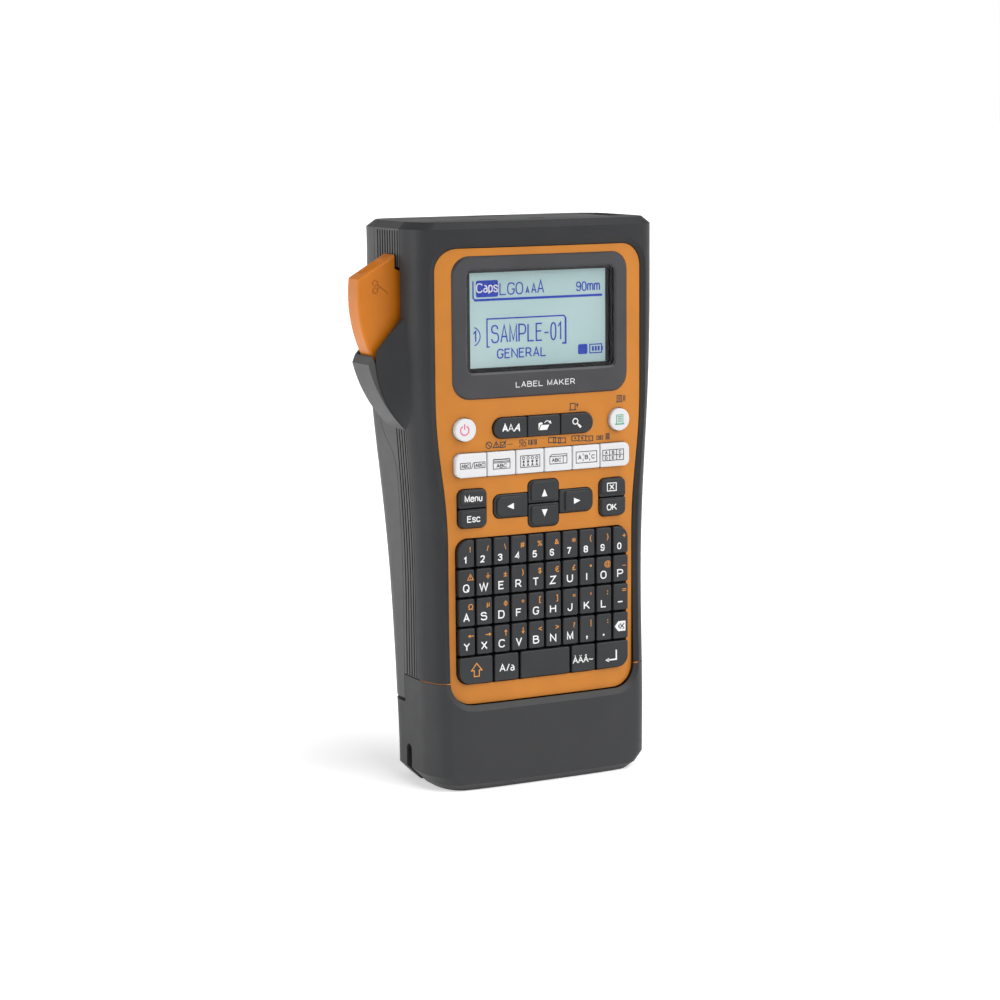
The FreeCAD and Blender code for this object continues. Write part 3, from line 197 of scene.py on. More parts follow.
INKS = {
    "white": moulded("ink_white", (0.66, 0.66, 0.66), 0.55, grain=0.00001, mottle=0.03),
    "orange": moulded("ink_orange", (0.50, 0.19, 0.02), 0.55, grain=0.00001, mottle=0.05),
    "black": moulded("ink_black", (0.012, 0.012, 0.014), 0.5, grain=0.00001),
    "pink": moulded("ink_pink", (0.55, 0.03, 0.15), 0.5, grain=0.00001, mottle=0.05),
    "green": moulded("ink_green", (0.02, 0.26, 0.13), 0.5, grain=0.00001, mottle=0.05),
    # the display ink and glass carry a faint painted glow that brightens them
    "blue": lit_glass("display_ink", (0.005, 0.026, 0.30), (0.007, 0.036, 0.38), 0.05),
    "glass": lit_glass("display_glass", (0.31, 0.44, 0.45), (0.38, 0.50, 0.50), 0.04),
}
BASE_FINISH = moulded("casing_base", CHARCOAL, 0.50, grain=0.00005, mottle=0.05, shine=0.30)


def dress_frame():
    """Give every node of the frame the finish of its material slot."""
    slots = {part["node"]: part["material_slot"] for part in frame["record"]["subparts"]}
    for name, node in NODES.items():
        node.data.materials.clear()
        node.data.materials.append(BASE_FINISH if name == "base_cap" else MATERIALS[slots[name]])


dress_frame()


# ---------------------------------------------------------------- pieces from meshes

def bridge(mesh, rings, closed=False):
    """Side faces between rings of vertices in a row, with end faces unless the row is closed."""
    pairs = list(zip(rings, rings[1:]))
    if closed:
        pairs.append((rings[-1], rings[0]))
    for here, there in pairs:
        for k in range(len(here)):
            m = (k + 1) % len(here)
            mesh.faces.new((here[k], here[m], there[m], there[k]))
    if not closed:
        mesh.faces.new(rings[0][::-1])
        mesh.faces.new(rings[-1])


def make_piece(name, mesh, material, body, smooth=False):
    """Turn the mesh into a piece that moves with a body."""
    bmesh.ops.recalc_face_normals(mesh, faces=mesh.faces)
    for face in mesh.faces:
        face.smooth = smooth
    data = bpy.data.meshes.new(name)
    mesh.to_mesh(data)
    mesh.free()
    data.materials.append(material)
    piece = bpy.data.objects.new(name, data)
    bpy.context.scene.collection.objects.link(piece)
    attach(piece, body)
    return piece


# ---------------------------------------------------------------- printed marks

PRINT_RISE = 0.03          # above the surface that carries the print, in mm
PRINT_SINK = 0.05
LAYER_STEP = 0.006
LAYERS = 6
MITRE_LIMIT = 0.4
DOT_SIDES = 14
CORNER_STEPS = 4
CLOSED_WITHIN = 0.01       # a written line whose ends are this close is a closed one
CAPITAL_SHARE = 0.70       # height of a capital over the font's size

# Surfaces that carry the prints: each function gives y at a distance x from the middle.
KEY_FACE_Y = -21.0
PANEL_FACE_Y = -19.8
PANEL_CROWN = 2.8
PANEL_HALF_WIDTH = 47.0
BEZEL_STEP = 0.8
DISPLAY_GLASS_Y = -16.46
DISPLAY_INK_Y = -16.52
DISPLAY_LETTER_Y = -16.59


def key_face(x):
    return KEY_FACE_Y


def panel_face(x):
    """The orange panel falls back towards its sides."""
    return PANEL_FACE_Y + PANEL_CROWN * (abs(x) / PANEL_HALF_WIDTH) ** 4


def bezel_face(x):
    return panel_face(x) - BEZEL_STEP


def glass_face(x):
    return DISPLAY_GLASS_Y


def display_face(x):
    return DISPLAY_INK_Y


def display_letter_face(x):
    return DISPLAY_LETTER_Y


# Line letters on a grid GRID_HEIGHT units high.  Each corner is two base-36 digits, across and up.
# "~" rounds the corner and "|" starts a new line.
ALPHABET = {
    "A": "00 49 80|13 73", "B": "00 09 79~ 75~ 05|05 85~ 80~ 00", "C": "87 89~ 09~ 00~ 80~ 82",
    "D": "00 09 89~ 80~ 00", "E": "79 09 00 70|05 65", "F": "79 09 00|05 65",
    "G": "87 89~ 09~ 00~ 80~ 84 54",
    "H": "00 09|80 89|05 85", "I": "00 09", "J": "69 60~ 00~ 03",
    "K": "00 09|79 03|35 80", "L": "09 00 70",
    "M": "00 09 41 89 80", "N": "00 09 80 89", "O": "49 09~ 00~ 80~ 89~ 49", "P": "00 09 89~ 84~ 04",
    "Q": "49 09~ 00~ 80~ 89~ 49|53 80", "R": "00 09 79~ 74~ 04|44 80",
    "S": "77 79~ 09~ 05~ 85~ 80~ 00~ 02",
    "T": "09 89|49 40", "U": "09 00~ 80~ 89", "V": "09 40 89", "W": "09 30 69 90 c9", "X": "00 89|09 80",
    "Y": "09 45 89|45 40", "Z": "09 89 00 80",
    "0": "39 09~ 00~ 60~ 69~ 39", "1": "07 39 30", "2": "07 09~ 69~ 65~ 00 60",
    "3": "07 09~ 69~ 65~ 25|25 65~ 60~ 00~ 02", "4": "50 59 03 73", "5": "69 19 05 66~ 60~ 00~ 02",
    "6": "67 69~ 09~ 00~ 60~ 65~ 05~ 03", "7": "09 69 20",
    "8": "39 09~ 05~ 65~ 69~ 39|35 05~ 00~ 60~ 65~ 35",
    "9": "02 00~ 60~ 69~ 09~ 04~ 64~ 66",
    "a": "17 57~ 50|54 04~ 00~ 50~ 54", "c": "65 67~ 07~ 00~ 60~ 62", "e": "04 64 67~ 07~ 00~ 60~ 62",
    "m": "00 07|04 07~ 47~ 40|44 47~ 87~ 80", "n": "00 07|04 07~ 57~ 50",
    "p": "09 00|06 09~ 59~ 52~ 02~ 05", "s": "55 57~ 07~ 04~ 53~ 50~ 00~ 02", "u": "07 00~ 50~ 53|57 50",
    "-": "04 54", "/": "00 49",
}
HANGS_BELOW = {"p": 2}
GRID_HEIGHT = 9
GRID_SHAPE = 0.93          # width of a grid unit over its height
SPACE_WIDTH = 3
ROUNDING = 4.2             # longest reach of a rounded corner, in grid units
ROUNDING_STEPS = 5
SAME_POINT = 0.05


def rounded_corner(corner, neighbours):
    """Points on the curve that replaces a corner; neighbours are (x, z, rounded too)."""
    x, z = corner
    ends = []
    for other_x, other_z, other_soft in neighbours:
        length = math.hypot(other_x - x, other_z - z)
        part = min(length / 2 if other_soft else length, ROUNDING) / length
        ends.append((x + (other_x - x) * part, z + (other_z - z) * part))
    points = []
    for step in range(ROUNDING_STEPS + 1):
        t = step / ROUNDING_STEPS
        points.append(tuple((1 - t) ** 2 * a + 2 * t * (1 - t) * c + t * t * b
                            for a, c, b in zip(ends[0], corner, ends[1])))
    return points


def rounded_path(line):
    """Points along one line of a letter, with its marked corners rounded."""
    corners = [(int(c[0], 36), int(c[1], 36), c.endswith("~")) for c in line.split()]
    points = []
    for i, (x, z, soft) in enumerate(corners):
        for point in rounded_corner((x, z), (corners[i - 1], corners[i + 1])) if soft else [(x, z)]:
            if not points or math.dist(point, points[-1]) > SAME_POINT:
                points.append(point)
    return points


class Marks:
    """Thin prints in one ink on one body, drawn in the front view in millimetres."""

    def __init__(self, name, body, ink, face, slot):
        self.name, self.body, self.ink, self.face, self.slot = name, body, ink, face, slot
        self.mesh = bmesh.new()
        self.layer = 0

    def vertex(self, x, z, rise):
        return self.mesh.verts.new((x * MM, (self.face(x) - rise) * MM, z * MM))

    def solid(self, points):
        """Filled outline."""
        front = [self.vertex(x, z, PRINT_RISE) for x, z in points]
        back = [self.vertex(x, z, -PRINT_SINK) for x, z in points]
        self.mesh.faces.new(front)
        self.mesh.faces.new(back[::-1])
        for i in range(len(points)):
            j = (i + 1) % len(points)
            self.mesh.faces.new((front[j], front[i], back[i], back[j]))

    def box(self, x0, z0, x1, z1):
        self.solid([(x0, z0), (x1, z0), (x1, z1), (x0, z1)])

    def stroke(self, points, width, closed=False):
        """Line of even width with mitred corners.  Lines that cross lie at slightly different heights."""
        self.layer = (self.layer + 1) % LAYERS
        rise = PRINT_RISE + LAYER_STEP * self.layer
        count = len(points)
        rails = []
        for i, (x, z) in enumerate(points):
            before = points[i - 1] if closed or i > 0 else None
            after = points[(i + 1) % count] if closed or i < count - 1 else None
            normals = []
            for a, b in ((before, (x, z)), ((x, z), after)):
                if a and b:
                    length = math.hypot(b[0] - a[0], b[1] - a[1])
                    normals.append((-(b[1] - a[1]) / length, (b[0] - a[0]) / length))
            nx, nz = sum(n[0] for n in normals), sum(n[1] for n in normals)
            size = math.hypot(nx, nz)
            nx, nz = nx / size, nz / size
            reach = width / 2 / max(MITRE_LIMIT, nx * normals[0][0] + nz * normals[0][1])
            section = ((1, rise), (-1, rise), (-1, -PRINT_SINK), (1, -PRINT_SINK))
            rails.append([self.vertex(x + side * nx * reach, z + side * nz * reach, height)
                          for side, height in section])
        bridge(self.mesh, rails, closed)

    def frame(self, x0, z0, x1, z1, width):
        self.stroke([(x0, z0), (x1, z0), (x1, z1), (x0, z1)], width, closed=True)

    def arc(self, x, z, radius, start, end, width, steps=20):
        """Part of a ring, or all of it when the ends meet."""
        full = abs(end - start) >= 360
        count = steps if full else steps + 1
        angles = [math.radians(start + (end - start) * i / steps) for i in range(count)]
        points = [(x + radius * math.cos(a), z + radius * math.sin(a)) for a in angles]
        self.stroke(points, width, closed=full)

    def dot(self, x, z, radius):
        angles = [math.tau * i / DOT_SIDES for i in range(DOT_SIDES)]
        self.solid([(x + radius * math.cos(a), z + radius * math.sin(a)) for a in angles])

    def rounded(self, x0, z0, x1, z1, r):
        """Filled rectangle with round corners."""
        centres = ((x1 - r, z0 + r), (x1 - r, z1 - r), (x0 + r, z1 - r), (x0 + r, z0 + r))
        points = []
        for quarter, (cx, cz) in enumerate(centres, -1):
            angles = [math.radians(90 * (quarter + i / CORNER_STEPS)) for i in range(CORNER_STEPS + 1)]
            points += [(cx + r * math.cos(a), cz + r * math.sin(a)) for a in angles]
        self.solid(points)

    def write(self, words, x, z, height, weight, width=1.0, gap=2.6):
        """Words in line letters of even weight, centred on x and with capitals centred on z."""
        up = (height - weight) / GRID_HEIGHT
        across = up * GRID_SHAPE * width
        paths, start = [], 0.0
        for letter in words:
            lines = [rounded_path(line) for line in ALPHABET[letter].split("|")] if letter != " " else []
            low = HANGS_BELOW.get(letter, 0)
            paths += [[(start + u, v - low) for u, v in line] for line in lines]
            start += max([u for line in lines for u, v in line], default=SPACE_WIDTH) + gap
        left = x - (start - gap) / 2 * across
        base = z - GRID_HEIGHT / 2 * up
        for line in paths:
            points = [(left + u * across, base + v * up) for u, v in line]
            closed = math.dist(points[0], points[-1]) < CLOSED_WITHIN
            self.stroke(points[:-1] if closed else points, weight, closed)

    def text(self, words, x, z, height, weight=0.0, lean=0.0, centred=False):
        """Words in the built-in font, centred on x.

        z is the middle of the capitals or, when centred is set, of the words as drawn.
        """
        curve = bpy.data.curves.new("words", "FONT")
        curve.body = words
        curve.size = height / CAPITAL_SHARE * MM
        curve.resolution_u = 3
        curve.offset = weight * MM
        curve.shear = lean
        curve.extrude = (PRINT_RISE + PRINT_SINK) / 2 * MM
        holder = bpy.data.objects.new("words", curve)
        letters = bpy.data.meshes.new_from_object(holder)
        xs = [v.co.x for v in letters.vertices]
        ys = [v.co.y for v in letters.vertices]
        middle = (min(xs) + max(xs)) / 2
        base = (min(ys) + max(ys)) / 2 if centred else height / 2 * MM
        depth = (PRINT_RISE - PRINT_SINK) / 2
        for v in letters.vertices:
            px = x + (v.co.x - middle) / MM
            v.co = (px * MM, (self.face(px) - depth) * MM - v.co.z, z * MM + v.co.y - base)
        self.mesh.from_mesh(letters)
        bpy.data.objects.remove(holder)
        bpy.data.curves.remove(curve)
        bpy.data.meshes.remove(letters)

    def done(self):
        make_piece(self.name, self.mesh, INKS[self.ink], self.body)


# ---------------------------------------------------------------- letter keys

COLUMN = 7.92              # pitch of the letter keys
GRID_LEFT = -39.6
SECOND_SHIFT = 1.6         # of a second function from the middle of its key
ERASE_X = 35.3
LETTERS = {1: "1234567890", 2: "QWERTZUIOP", 3: "ASDFGHJKL-", 4: "YXCVBNM,."}
# Second functions in the same order; "\0" stands for one that second_symbols draws.
SECONDS = {1: "!/\\#%&*()+", 2: "\0\0±)$€£\0@_", 3: "Ωµ\0\0[]\0\0;\0", 4: "\0\0\0\0<>?|:"}


def key_row_middle(row):
    low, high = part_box("key_row_%d" % row)
    return (low[2] + high[2]) / 2 / MM


def arrow(marks, x, z, turn, length=2.6, width=0.36):
    """Small line arrow that points at the given angle in degrees."""
    c, s = math.cos(math.radians(turn)), math.sin(math.radians(turn))

    def at(u, v):
        return (x + u * c - v * s, z + u * s + v * c)

    marks.stroke([at(-length / 2, 0), at(length / 2 - 0.5, 0)], width)
    marks.solid([at(length / 2, 0), at(length / 2 - 1.0, 0.75), at(length / 2 - 1.0, -0.75)])


def second_symbols(marks, row, x, z):
    """Drawn second functions that no letter stands for."""
    if row == 2:
        wx, ex = x(0), x(1)
        marks.stroke([(wx - 1.3, z - 1.0), (wx + 1.3, z - 1.0), (wx, z + 1.3)], 0.3, closed=True)
        marks.stroke([(wx, z + 0.6), (wx, z - 0.15)], 0.34)
        marks.dot(wx, z - 0.6, 0.2)
        marks.stroke([(ex, z + 1.3), (ex, z)], 0.3)
        for half, drop in ((1.0, 0.0), (0.65, 0.45), (0.3, 0.9)):
            marks.stroke([(ex - half, z - drop), (ex + half, z - drop)], 0.26)
        marks.dot(x(7), z, 0.5)
    if row == 3:
        marks.arc(x(2), z, 0.72, 0, 360, 0.3, 14)
        marks.stroke([(x(2), z - 1.25), (x(2), z + 1.25)], 0.28)
        marks.arc(x(3), z + 0.2, 0.45, 0, 360, 0.28, 12)
        for tick in (x(6) - 0.36, x(6) + 0.36, x(7)):
            marks.stroke([(tick, z + 0.9), (tick, z - 0.2)], 0.34)
        for line in (0.2, 0.9):
            marks.stroke([(x(9) - 0.9, z + line), (x(9) + 0.9, z + line)], 0.32)
    if row == 4:
        for column, turn in enumerate((180, 0, 90, -90)):
            arrow(marks, x(column), z, turn)


def letter_row(row):
    """White letters and orange second functions of one row of keys."""
    body = "key_row_%d" % row
    middle = key_row_middle(row)
    first = Marks("letters_row_%d" % row, body, "white", key_face, "key_rubber")
    second = Marks("symbols_row_%d" % row, body, "orange", key_face, "key_rubber")
    digits = row == 1
    shift = -0.75 if digits else -0.35
    height, drop = (2.9, 2.55) if digits else (3.4, 2.0)

    def second_x(column):
        return GRID_LEFT + (column + 0.5) * COLUMN + SECOND_SHIFT

    for column, letter in enumerate(LETTERS[row]):
        x = GRID_LEFT + (column + 0.5) * COLUMN + shift
        if letter == "-":
            first.stroke([(x - 1.1, middle - 2.0), (x + 1.1, middle - 2.0)], 0.5)
        elif letter in ",.":
            first.dot(x, middle - 3.2, 0.42)
            if letter == ",":
                first.stroke([(x + 0.25, middle - 3.2), (x - 0.15, middle - 4.2)], 0.42)
        else:
            first.write(letter, x, middle - drop, height, 0.50)
    rise = 1.7 if digits else 2.35
    for column, symbol in enumerate(SECONDS[row]):
        if symbol != "\0":
            low = 1.2 if symbol == "_" else 0.0
            size = 3.0 if symbol == "*" else 2.15
            second.text(symbol, second_x(column), middle + rise - low, size, weight=0.045, centred=True)
    second_symbols(second, row, second_x, middle + rise)
    if row == 4:
        erase_mark(first, ERASE_X, middle - 0.3)
    first.done()
    second.done()


def erase_mark(marks, x, z):
    """Pointed tab with an X left open in it."""
    marks.solid([(x - 2.6, z), (x - 0.9, z + 2.1), (x - 0.1, z + 2.1), (x - 0.1, z + 1.1),
                 (x - 0.95, z + 0.4), (x - 0.95, z - 0.4), (x - 0.1, z - 1.1), (x - 0.1, z - 2.1),
                 (x - 0.9, z - 2.1)])
    marks.box(x - 0.1, z + 1.3, x + 2.5, z + 2.1)
    marks.box(x - 0.1, z - 2.1, x + 2.5, z - 1.3)
    marks.box(x + 2.0, z - 1.3, x + 2.5, z + 1.3)
    for turn in (0, 90, 180, 270):
        c, s = math.cos(math.radians(turn)), math.sin(math.radians(turn))
        wedge = [(0.32, 0.0), (1.15, 0.83), (1.15, -0.83)]
        marks.solid([(x + 0.85 + u * c - v * s, z + u * s + v * c) for u, v in wedge])


def wide_row():
    """Shift, case, space, accent and return keys."""
    middle = key_row_middle(5)
    shift = Marks("shift_arrow", "key_row_5", "orange", key_face, "key_rubber")
    x, z = -31.6, middle + 0.15
    shift.stroke([(x - 1.15, z - 2.6), (x + 1.15, z - 2.6), (x + 1.15, z - 0.1), (x + 2.35, z - 0.1),
                  (x, z + 2.8), (x - 2.35, z - 0.1), (x - 1.15, z - 0.1)], 0.42, closed=True)
    shift.done()
    marks = Marks("wide_key_words", "key_row_5", "white", key_face, "key_rubber")
    marks.write("A/a", -17.8, middle - 0.2, 3.2, 0.42)
    marks.text("ÀÄÂ~", 17.5, middle - 0.5, 2.6, weight=0.02)
    marks.stroke([(33.4, middle + 1.9), (33.4, middle - 2.1), (29.2, middle - 2.1)], 0.62)
    marks.solid([(28.1, middle - 2.1), (29.9, middle - 1.2), (29.9, middle - 3.0)])
    marks.done()


# ---------------------------------------------------------------- control keys

def middle_of(node):
    """Middle of a node in the front view, in millimetres."""
    low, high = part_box(node)
    return (low[0] + high[0]) / 2 / MM, (low[2] + high[2]) / 2 / MM


def control_keys():
    """Each mark sits on the raised part of its key."""
    for node, words, x, z in (("menu_key", "Menu", -32.3, 120.4), ("escape_key", "Esc", -32.3, 112.1),
                              ("ok_key", "OK", 31.4, 112.1)):
        marks = Marks(node + "_word", node, "white", key_face, "key_rubber")
        marks.write(words, x, z, 2.7, 0.42)
        marks.done()
    for node, turn, x, z in (("up_key", 90, 0.0, 120.3), ("down_key", -90, 0.0, 112.2),
                             ("left_key", 180, -15.5, 116.0), ("right_key", 0, 15.0, 116.0)):
        c, s = math.cos(math.radians(turn)), math.sin(math.radians(turn))
        marks = Marks(node + "_mark", node, "white", key_face, "key_rubber")
        marks.solid([(x + u * c - v * s, z + u * s + v * c)
                     for u, v in ((1.6, 0), (-1.4, 1.3), (-1.4, -1.3))])
        marks.done()
    x, z = 31.4, 120.5
    marks = Marks("clear_key_mark", "clear_key", "white", key_face, "key_rubber")
    marks.frame(x - 2.1, z - 1.6, x + 2.1, z + 1.6, 0.36)
    marks.stroke([(x - 0.9, z - 0.9), (x + 0.9, z + 0.9)], 0.4)
    marks.stroke([(x - 0.9, z + 0.9), (x + 0.9, z - 0.9)], 0.4)
    marks.done()


def round_keys():
    """Power ring and printed page."""
    x, z = middle_of("power_key")
    marks = Marks("power_mark", "power_key", "pink", key_face, "key_white")
    marks.arc(x - 0.6, z - 0.1, 1.85, 115, 425, 0.44, 28)
    marks.stroke([(x - 0.6, z + 2.5), (x - 0.6, z + 0.3)], 0.46)
    marks.done()
    x, z = middle_of("print_key")
    marks = Marks("print_mark", "print_key", "green", key_face, "key_white")
    marks.frame(x - 1.6, z - 1.8, x + 1.4, z + 1.9, 0.32)
    marks.stroke([(x - 2.2, z - 1.85), (x + 2.0, z - 1.85)], 0.5)
    for n in range(4):
        marks.stroke([(x - 1.1, z + 1.2 - 0.72 * n), (x + 0.9, z + 1.2 - 0.72 * n)], 0.34)
    marks.done()


def menu_icons():
    """Font, file and search marks on the dark key group."""
    x, z = middle_of("font_key")
    marks = Marks("font_mark", "font_key", "white", key_face, "key_rubber")
    marks.write("A", x - 2.5, z, 3.2, 0.62)
    marks.write("A", x + 0.1, z, 3.0, 0.30)
    marks.text("A", x + 2.7, z, 3.0, weight=0.07, lean=0.35)
    marks.done()
    x, z = middle_of("file_key")
    marks = Marks("file_mark", "file_key", "white", key_face, "key_rubber")
    marks.solid([(x - 2.6, z - 1.8), (x - 2.6, z + 0.9), (x - 1.9, z + 1.3), (x - 1.0, z + 1.3),
                 (x - 0.7, z + 0.9), (x - 0.7, z + 0.5), (x - 1.7, z + 0.4)])
    marks.solid([(x - 2.3, z - 1.8), (x - 1.3, z + 0.2), (x + 2.3, z + 0.2), (x + 1.3, z - 1.8)])
    marks.arc(x + 1.5, z + 0.3, 1.5, 150, 40, 0.34, 8)
    marks.solid([(x + 3.3, z + 0.5), (x + 2.0, z + 1.0), (x + 2.9, z + 1.9)])
    marks.done()
    x, z = middle_of("search_key")
    marks = Marks("search_mark", "search_key", "white", key_face, "key_rubber")
    marks.arc(x - 0.9, z + 0.8, 1.15, 0, 360, 0.42)
    marks.stroke([(x, z - 0.1), (x + 0.7, z - 0.8)], 0.5)
    marks.stroke([(x + 0.6, z - 0.7), (x + 1.7, z - 1.8)], 0.9)
    marks.done()


# ---------------------------------------------------------------- label-type keys

def label_keys():
    """Six white keys, each with a small picture of a label layout."""
    drawings = (label_pair, flag_label, grid_label, wrap_label, split_label, block_label)
    for index, draw in enumerate(drawings):
        node = "app_key_%d" % (index + 1)
        x, z = middle_of(node)
        marks = Marks("layout_%d" % (index + 1), node, "black", key_face, "key_white")
        draw(marks, x, z)
        marks.done()


def label_pair(marks, x, z):
    marks.frame(x - 5.0, z - 1.1, x - 0.6, z + 1.2, 0.28)
    marks.write("ABC", x - 2.8, z, 1.35, 0.26)
    marks.stroke([(x - 0.1, z - 1.3), (x + 0.8, z + 1.3)], 0.26)
    marks.frame(x + 1.2, z - 1.1, x + 6.0, z + 1.2, 0.28)
    marks.write("ABC", x + 3.6, z, 1.35, 0.26, width=1.15)


def flag_label(marks, x, z):
    marks.frame(x - 3.8, z - 2.1, x + 3.8, z + 0.4, 0.28)
    marks.write("ABC", x, z - 0.9, 1.6, 0.28, width=1.1)
    marks.stroke([(x - 3.8, z + 0.9), (x + 3.8, z + 0.9)], 0.28)
    marks.stroke([(x - 3.8, z + 1.7), (x + 3.8, z + 1.7)], 0.42)
    for side in (-3.8, 3.8):
        marks.stroke([(x + side, z + 0.4), (x + side, z + 1.7)], 0.26)


def grid_label(marks, x, z):
    marks.frame(x - 4.4, z - 2.3, x + 4.4, z + 2.4, 0.28)
    for column in range(4):
        cx = x - 3.0 + 2.0 * column
        marks.arc(cx, z + 1.4, 0.55, 0, 360, 0.26, 10)
        marks.dot(cx, z, 0.5)
        marks.write("A", cx, z - 1.35, 1.4, 0.28)


def wrap_label(marks, x, z):
    marks.frame(x - 4.0, z - 1.8, x + 2.2, z + 1.2, 0.28)
    marks.write("ABC", x - 0.9, z - 0.3, 1.5, 0.28, width=1.1)
    marks.stroke([(x - 4.0, z + 1.2), (x - 3.2, z + 2.0), (x + 3.9, z + 2.0), (x + 3.9, z - 1.8),
                  (x + 2.2, z - 1.8)], 0.28)
    marks.stroke([(x + 2.2, z + 1.2), (x + 3.9, z + 1.2)], 0.28)


def split_label(marks, x, z):
    marks.frame(x - 4.8, z - 2.3, x + 4.8, z + 2.3, 0.28)
    for offset, letter in ((-3.1, "A"), (0.0, "B"), (3.1, "C")):
        marks.write(letter, x + offset, z, 1.8, 0.32)
    for offset in (-1.55, 1.55):
        marks.stroke([(x + offset, z + 1.6), (x + offset, z + 0.7)], 0.28)
        marks.stroke([(x + offset, z - 0.7), (x + offset, z - 1.6)], 0.28)


BLOCK_LABEL_SHIFT = 0.9    # this picture sits a little left of its key's middle


def block_label(marks, x, z):
    x -= BLOCK_LABEL_SHIFT
    marks.frame(x - 4.9, z - 2.2, x + 4.9, z + 2.2, 0.3)
    marks.stroke([(x - 4.9, z), (x + 4.9, z)], 0.28)
    for offset in (-1.63, 1.63):
        marks.stroke([(x + offset, z - 2.2), (x + offset, z + 2.2)], 0.28)
    for n, letter in enumerate("ABCDEF"):
        marks.write(letter, x + 3.27 * (n % 3 - 1), z + (1.1 if n < 3 else -1.1), 1.4, 0.28)


# ---------------------------------------------------------------- prints on the panel

ICON_Z = 141.3             # middle of the icons above the label keys


def panel_icons():
    """Small black icons on the orange panel."""
    marks = Marks("panel_prints", "housing", "black", panel_face, "panel_orange")
    symbol_icons(marks, ICON_Z)
    code_icons(marks, ICON_Z)
    tag_row(marks, 4.2, 2.3, "   ")
    tag_row(marks, 15.0, 3.3, "ABC")
    marks.frame(25.2, 140.4, 28.0, 141.8, 0.34)
    marks.write("AB", 26.6, 141.1, 0.95, 0.22)
    for n in range(5):
        marks.stroke([(29.4, 140.3 + 0.55 * n), (31.4, 140.3 + 0.55 * n)], 0.4)
    page_icon(marks, 13.9, 154.6, 0)
    page_icon(marks, 36.3, 156.5, 3)
    arrow(marks, 16.0, 155.2, 90, 1.8, 0.38)
    marks.stroke([(38.4, 155.5), (38.4, 157.8)], 0.38)
    marks.stroke([(39.1, 155.5), (39.1, 157.8)], 0.4)
    marks.done()


def tag_row(marks, x, pitch, letters):
    """Row of tags that steps down to the right; a space leaves a tag empty."""
    for n, letter in enumerate(letters):
        middle, low = x + n * pitch, 140.6 - 0.25 * n
        marks.frame(middle - 1.6, low, middle + 1.6, low + 2.0, 0.34)
        marks.write(letter, middle, low + 1.0, 1.1, 0.24)


def page_icon(marks, x, z, lines):
    """Page over a feed line."""
    marks.frame(x - 1.2, z - 1.2, x + 1.1, z + 1.4, 0.36)
    marks.stroke([(x - 1.7, z - 1.25), (x + 1.6, z - 1.25)], 0.38)
    for n in range(lines):
        marks.stroke([(x - 0.7, z + 0.8 - 0.65 * n), (x + 0.6, z + 0.8 - 0.65 * n)], 0.38)


def symbol_icons(marks, z):
    """No-entry ring, warning triangle, ticked box and three dots."""
    marks.arc(-24.5, z, 1.3, 0, 360, 0.36)
    marks.stroke([(-25.4, z + 0.9), (-23.6, z - 0.9)], 0.36)
    marks.stroke([(-22.6, z - 1.1), (-19.9, z - 1.1), (-21.25, z + 1.2)], 0.36, closed=True)
    marks.stroke([(-21.25, z + 0.4), (-21.25, z - 0.3)], 0.38)
    marks.dot(-21.25, z - 0.7, 0.22)
    marks.frame(-19.4, z - 1.2, -17.2, z + 0.9, 0.36)
    marks.stroke([(-19.0, z), (-18.4, z - 0.7), (-16.8, z + 1.4)], 0.36)
    for n in range(3):
        marks.dot(-15.9 + 0.85 * n, z - 0.2, 0.24)


def code_icons(marks, z):
    """Square code and bar code."""
    for column in range(5):
        for row in range(5):
            if (column * row + column + row) % 3 != 1 or {column, row} <= {0, 4}:
                left, low = -10.8 + 0.68 * column, z - 1.5 + 0.62 * row
                marks.box(left, low, left + 0.5, low + 0.46)
    left = -6.7
    for bar, gap in ((0.5, 0.25), (0.2, 0.25), (0.7, 0.25), (0.2, 0.38), (0.35, 0.2), (0.6, 0.2)):
        marks.box(left, z - 1.1, left + bar, z + 1.1)
        left += bar + gap


def bezel_words():
    marks = Marks("bezel_words", "housing", "white", bezel_face, "bezel_plastic")
    marks.write("LABEL MAKER", 1.0, 165.2, 2.3, 0.26, width=1.15, gap=3.2)
    marks.done()


# ---------------------------------------------------------------- display

DISPLAY = (-31.0, 172.2, 31.0, 210.4)
DISPLAY_CLEARANCE = 0.02


def display_sheet():
    """Glass with a faint painted glow in the recess of the display module."""
    x0, z0, x1, z1 = DISPLAY
    sheet = Marks("display_glass", "housing", "glass", glass_face, "display")
    sheet.box(x0 + DISPLAY_CLEARANCE, z0 + DISPLAY_CLEARANCE,
              x1 - DISPLAY_CLEARANCE, z1 - DISPLAY_CLEARANCE)
    sheet.done()


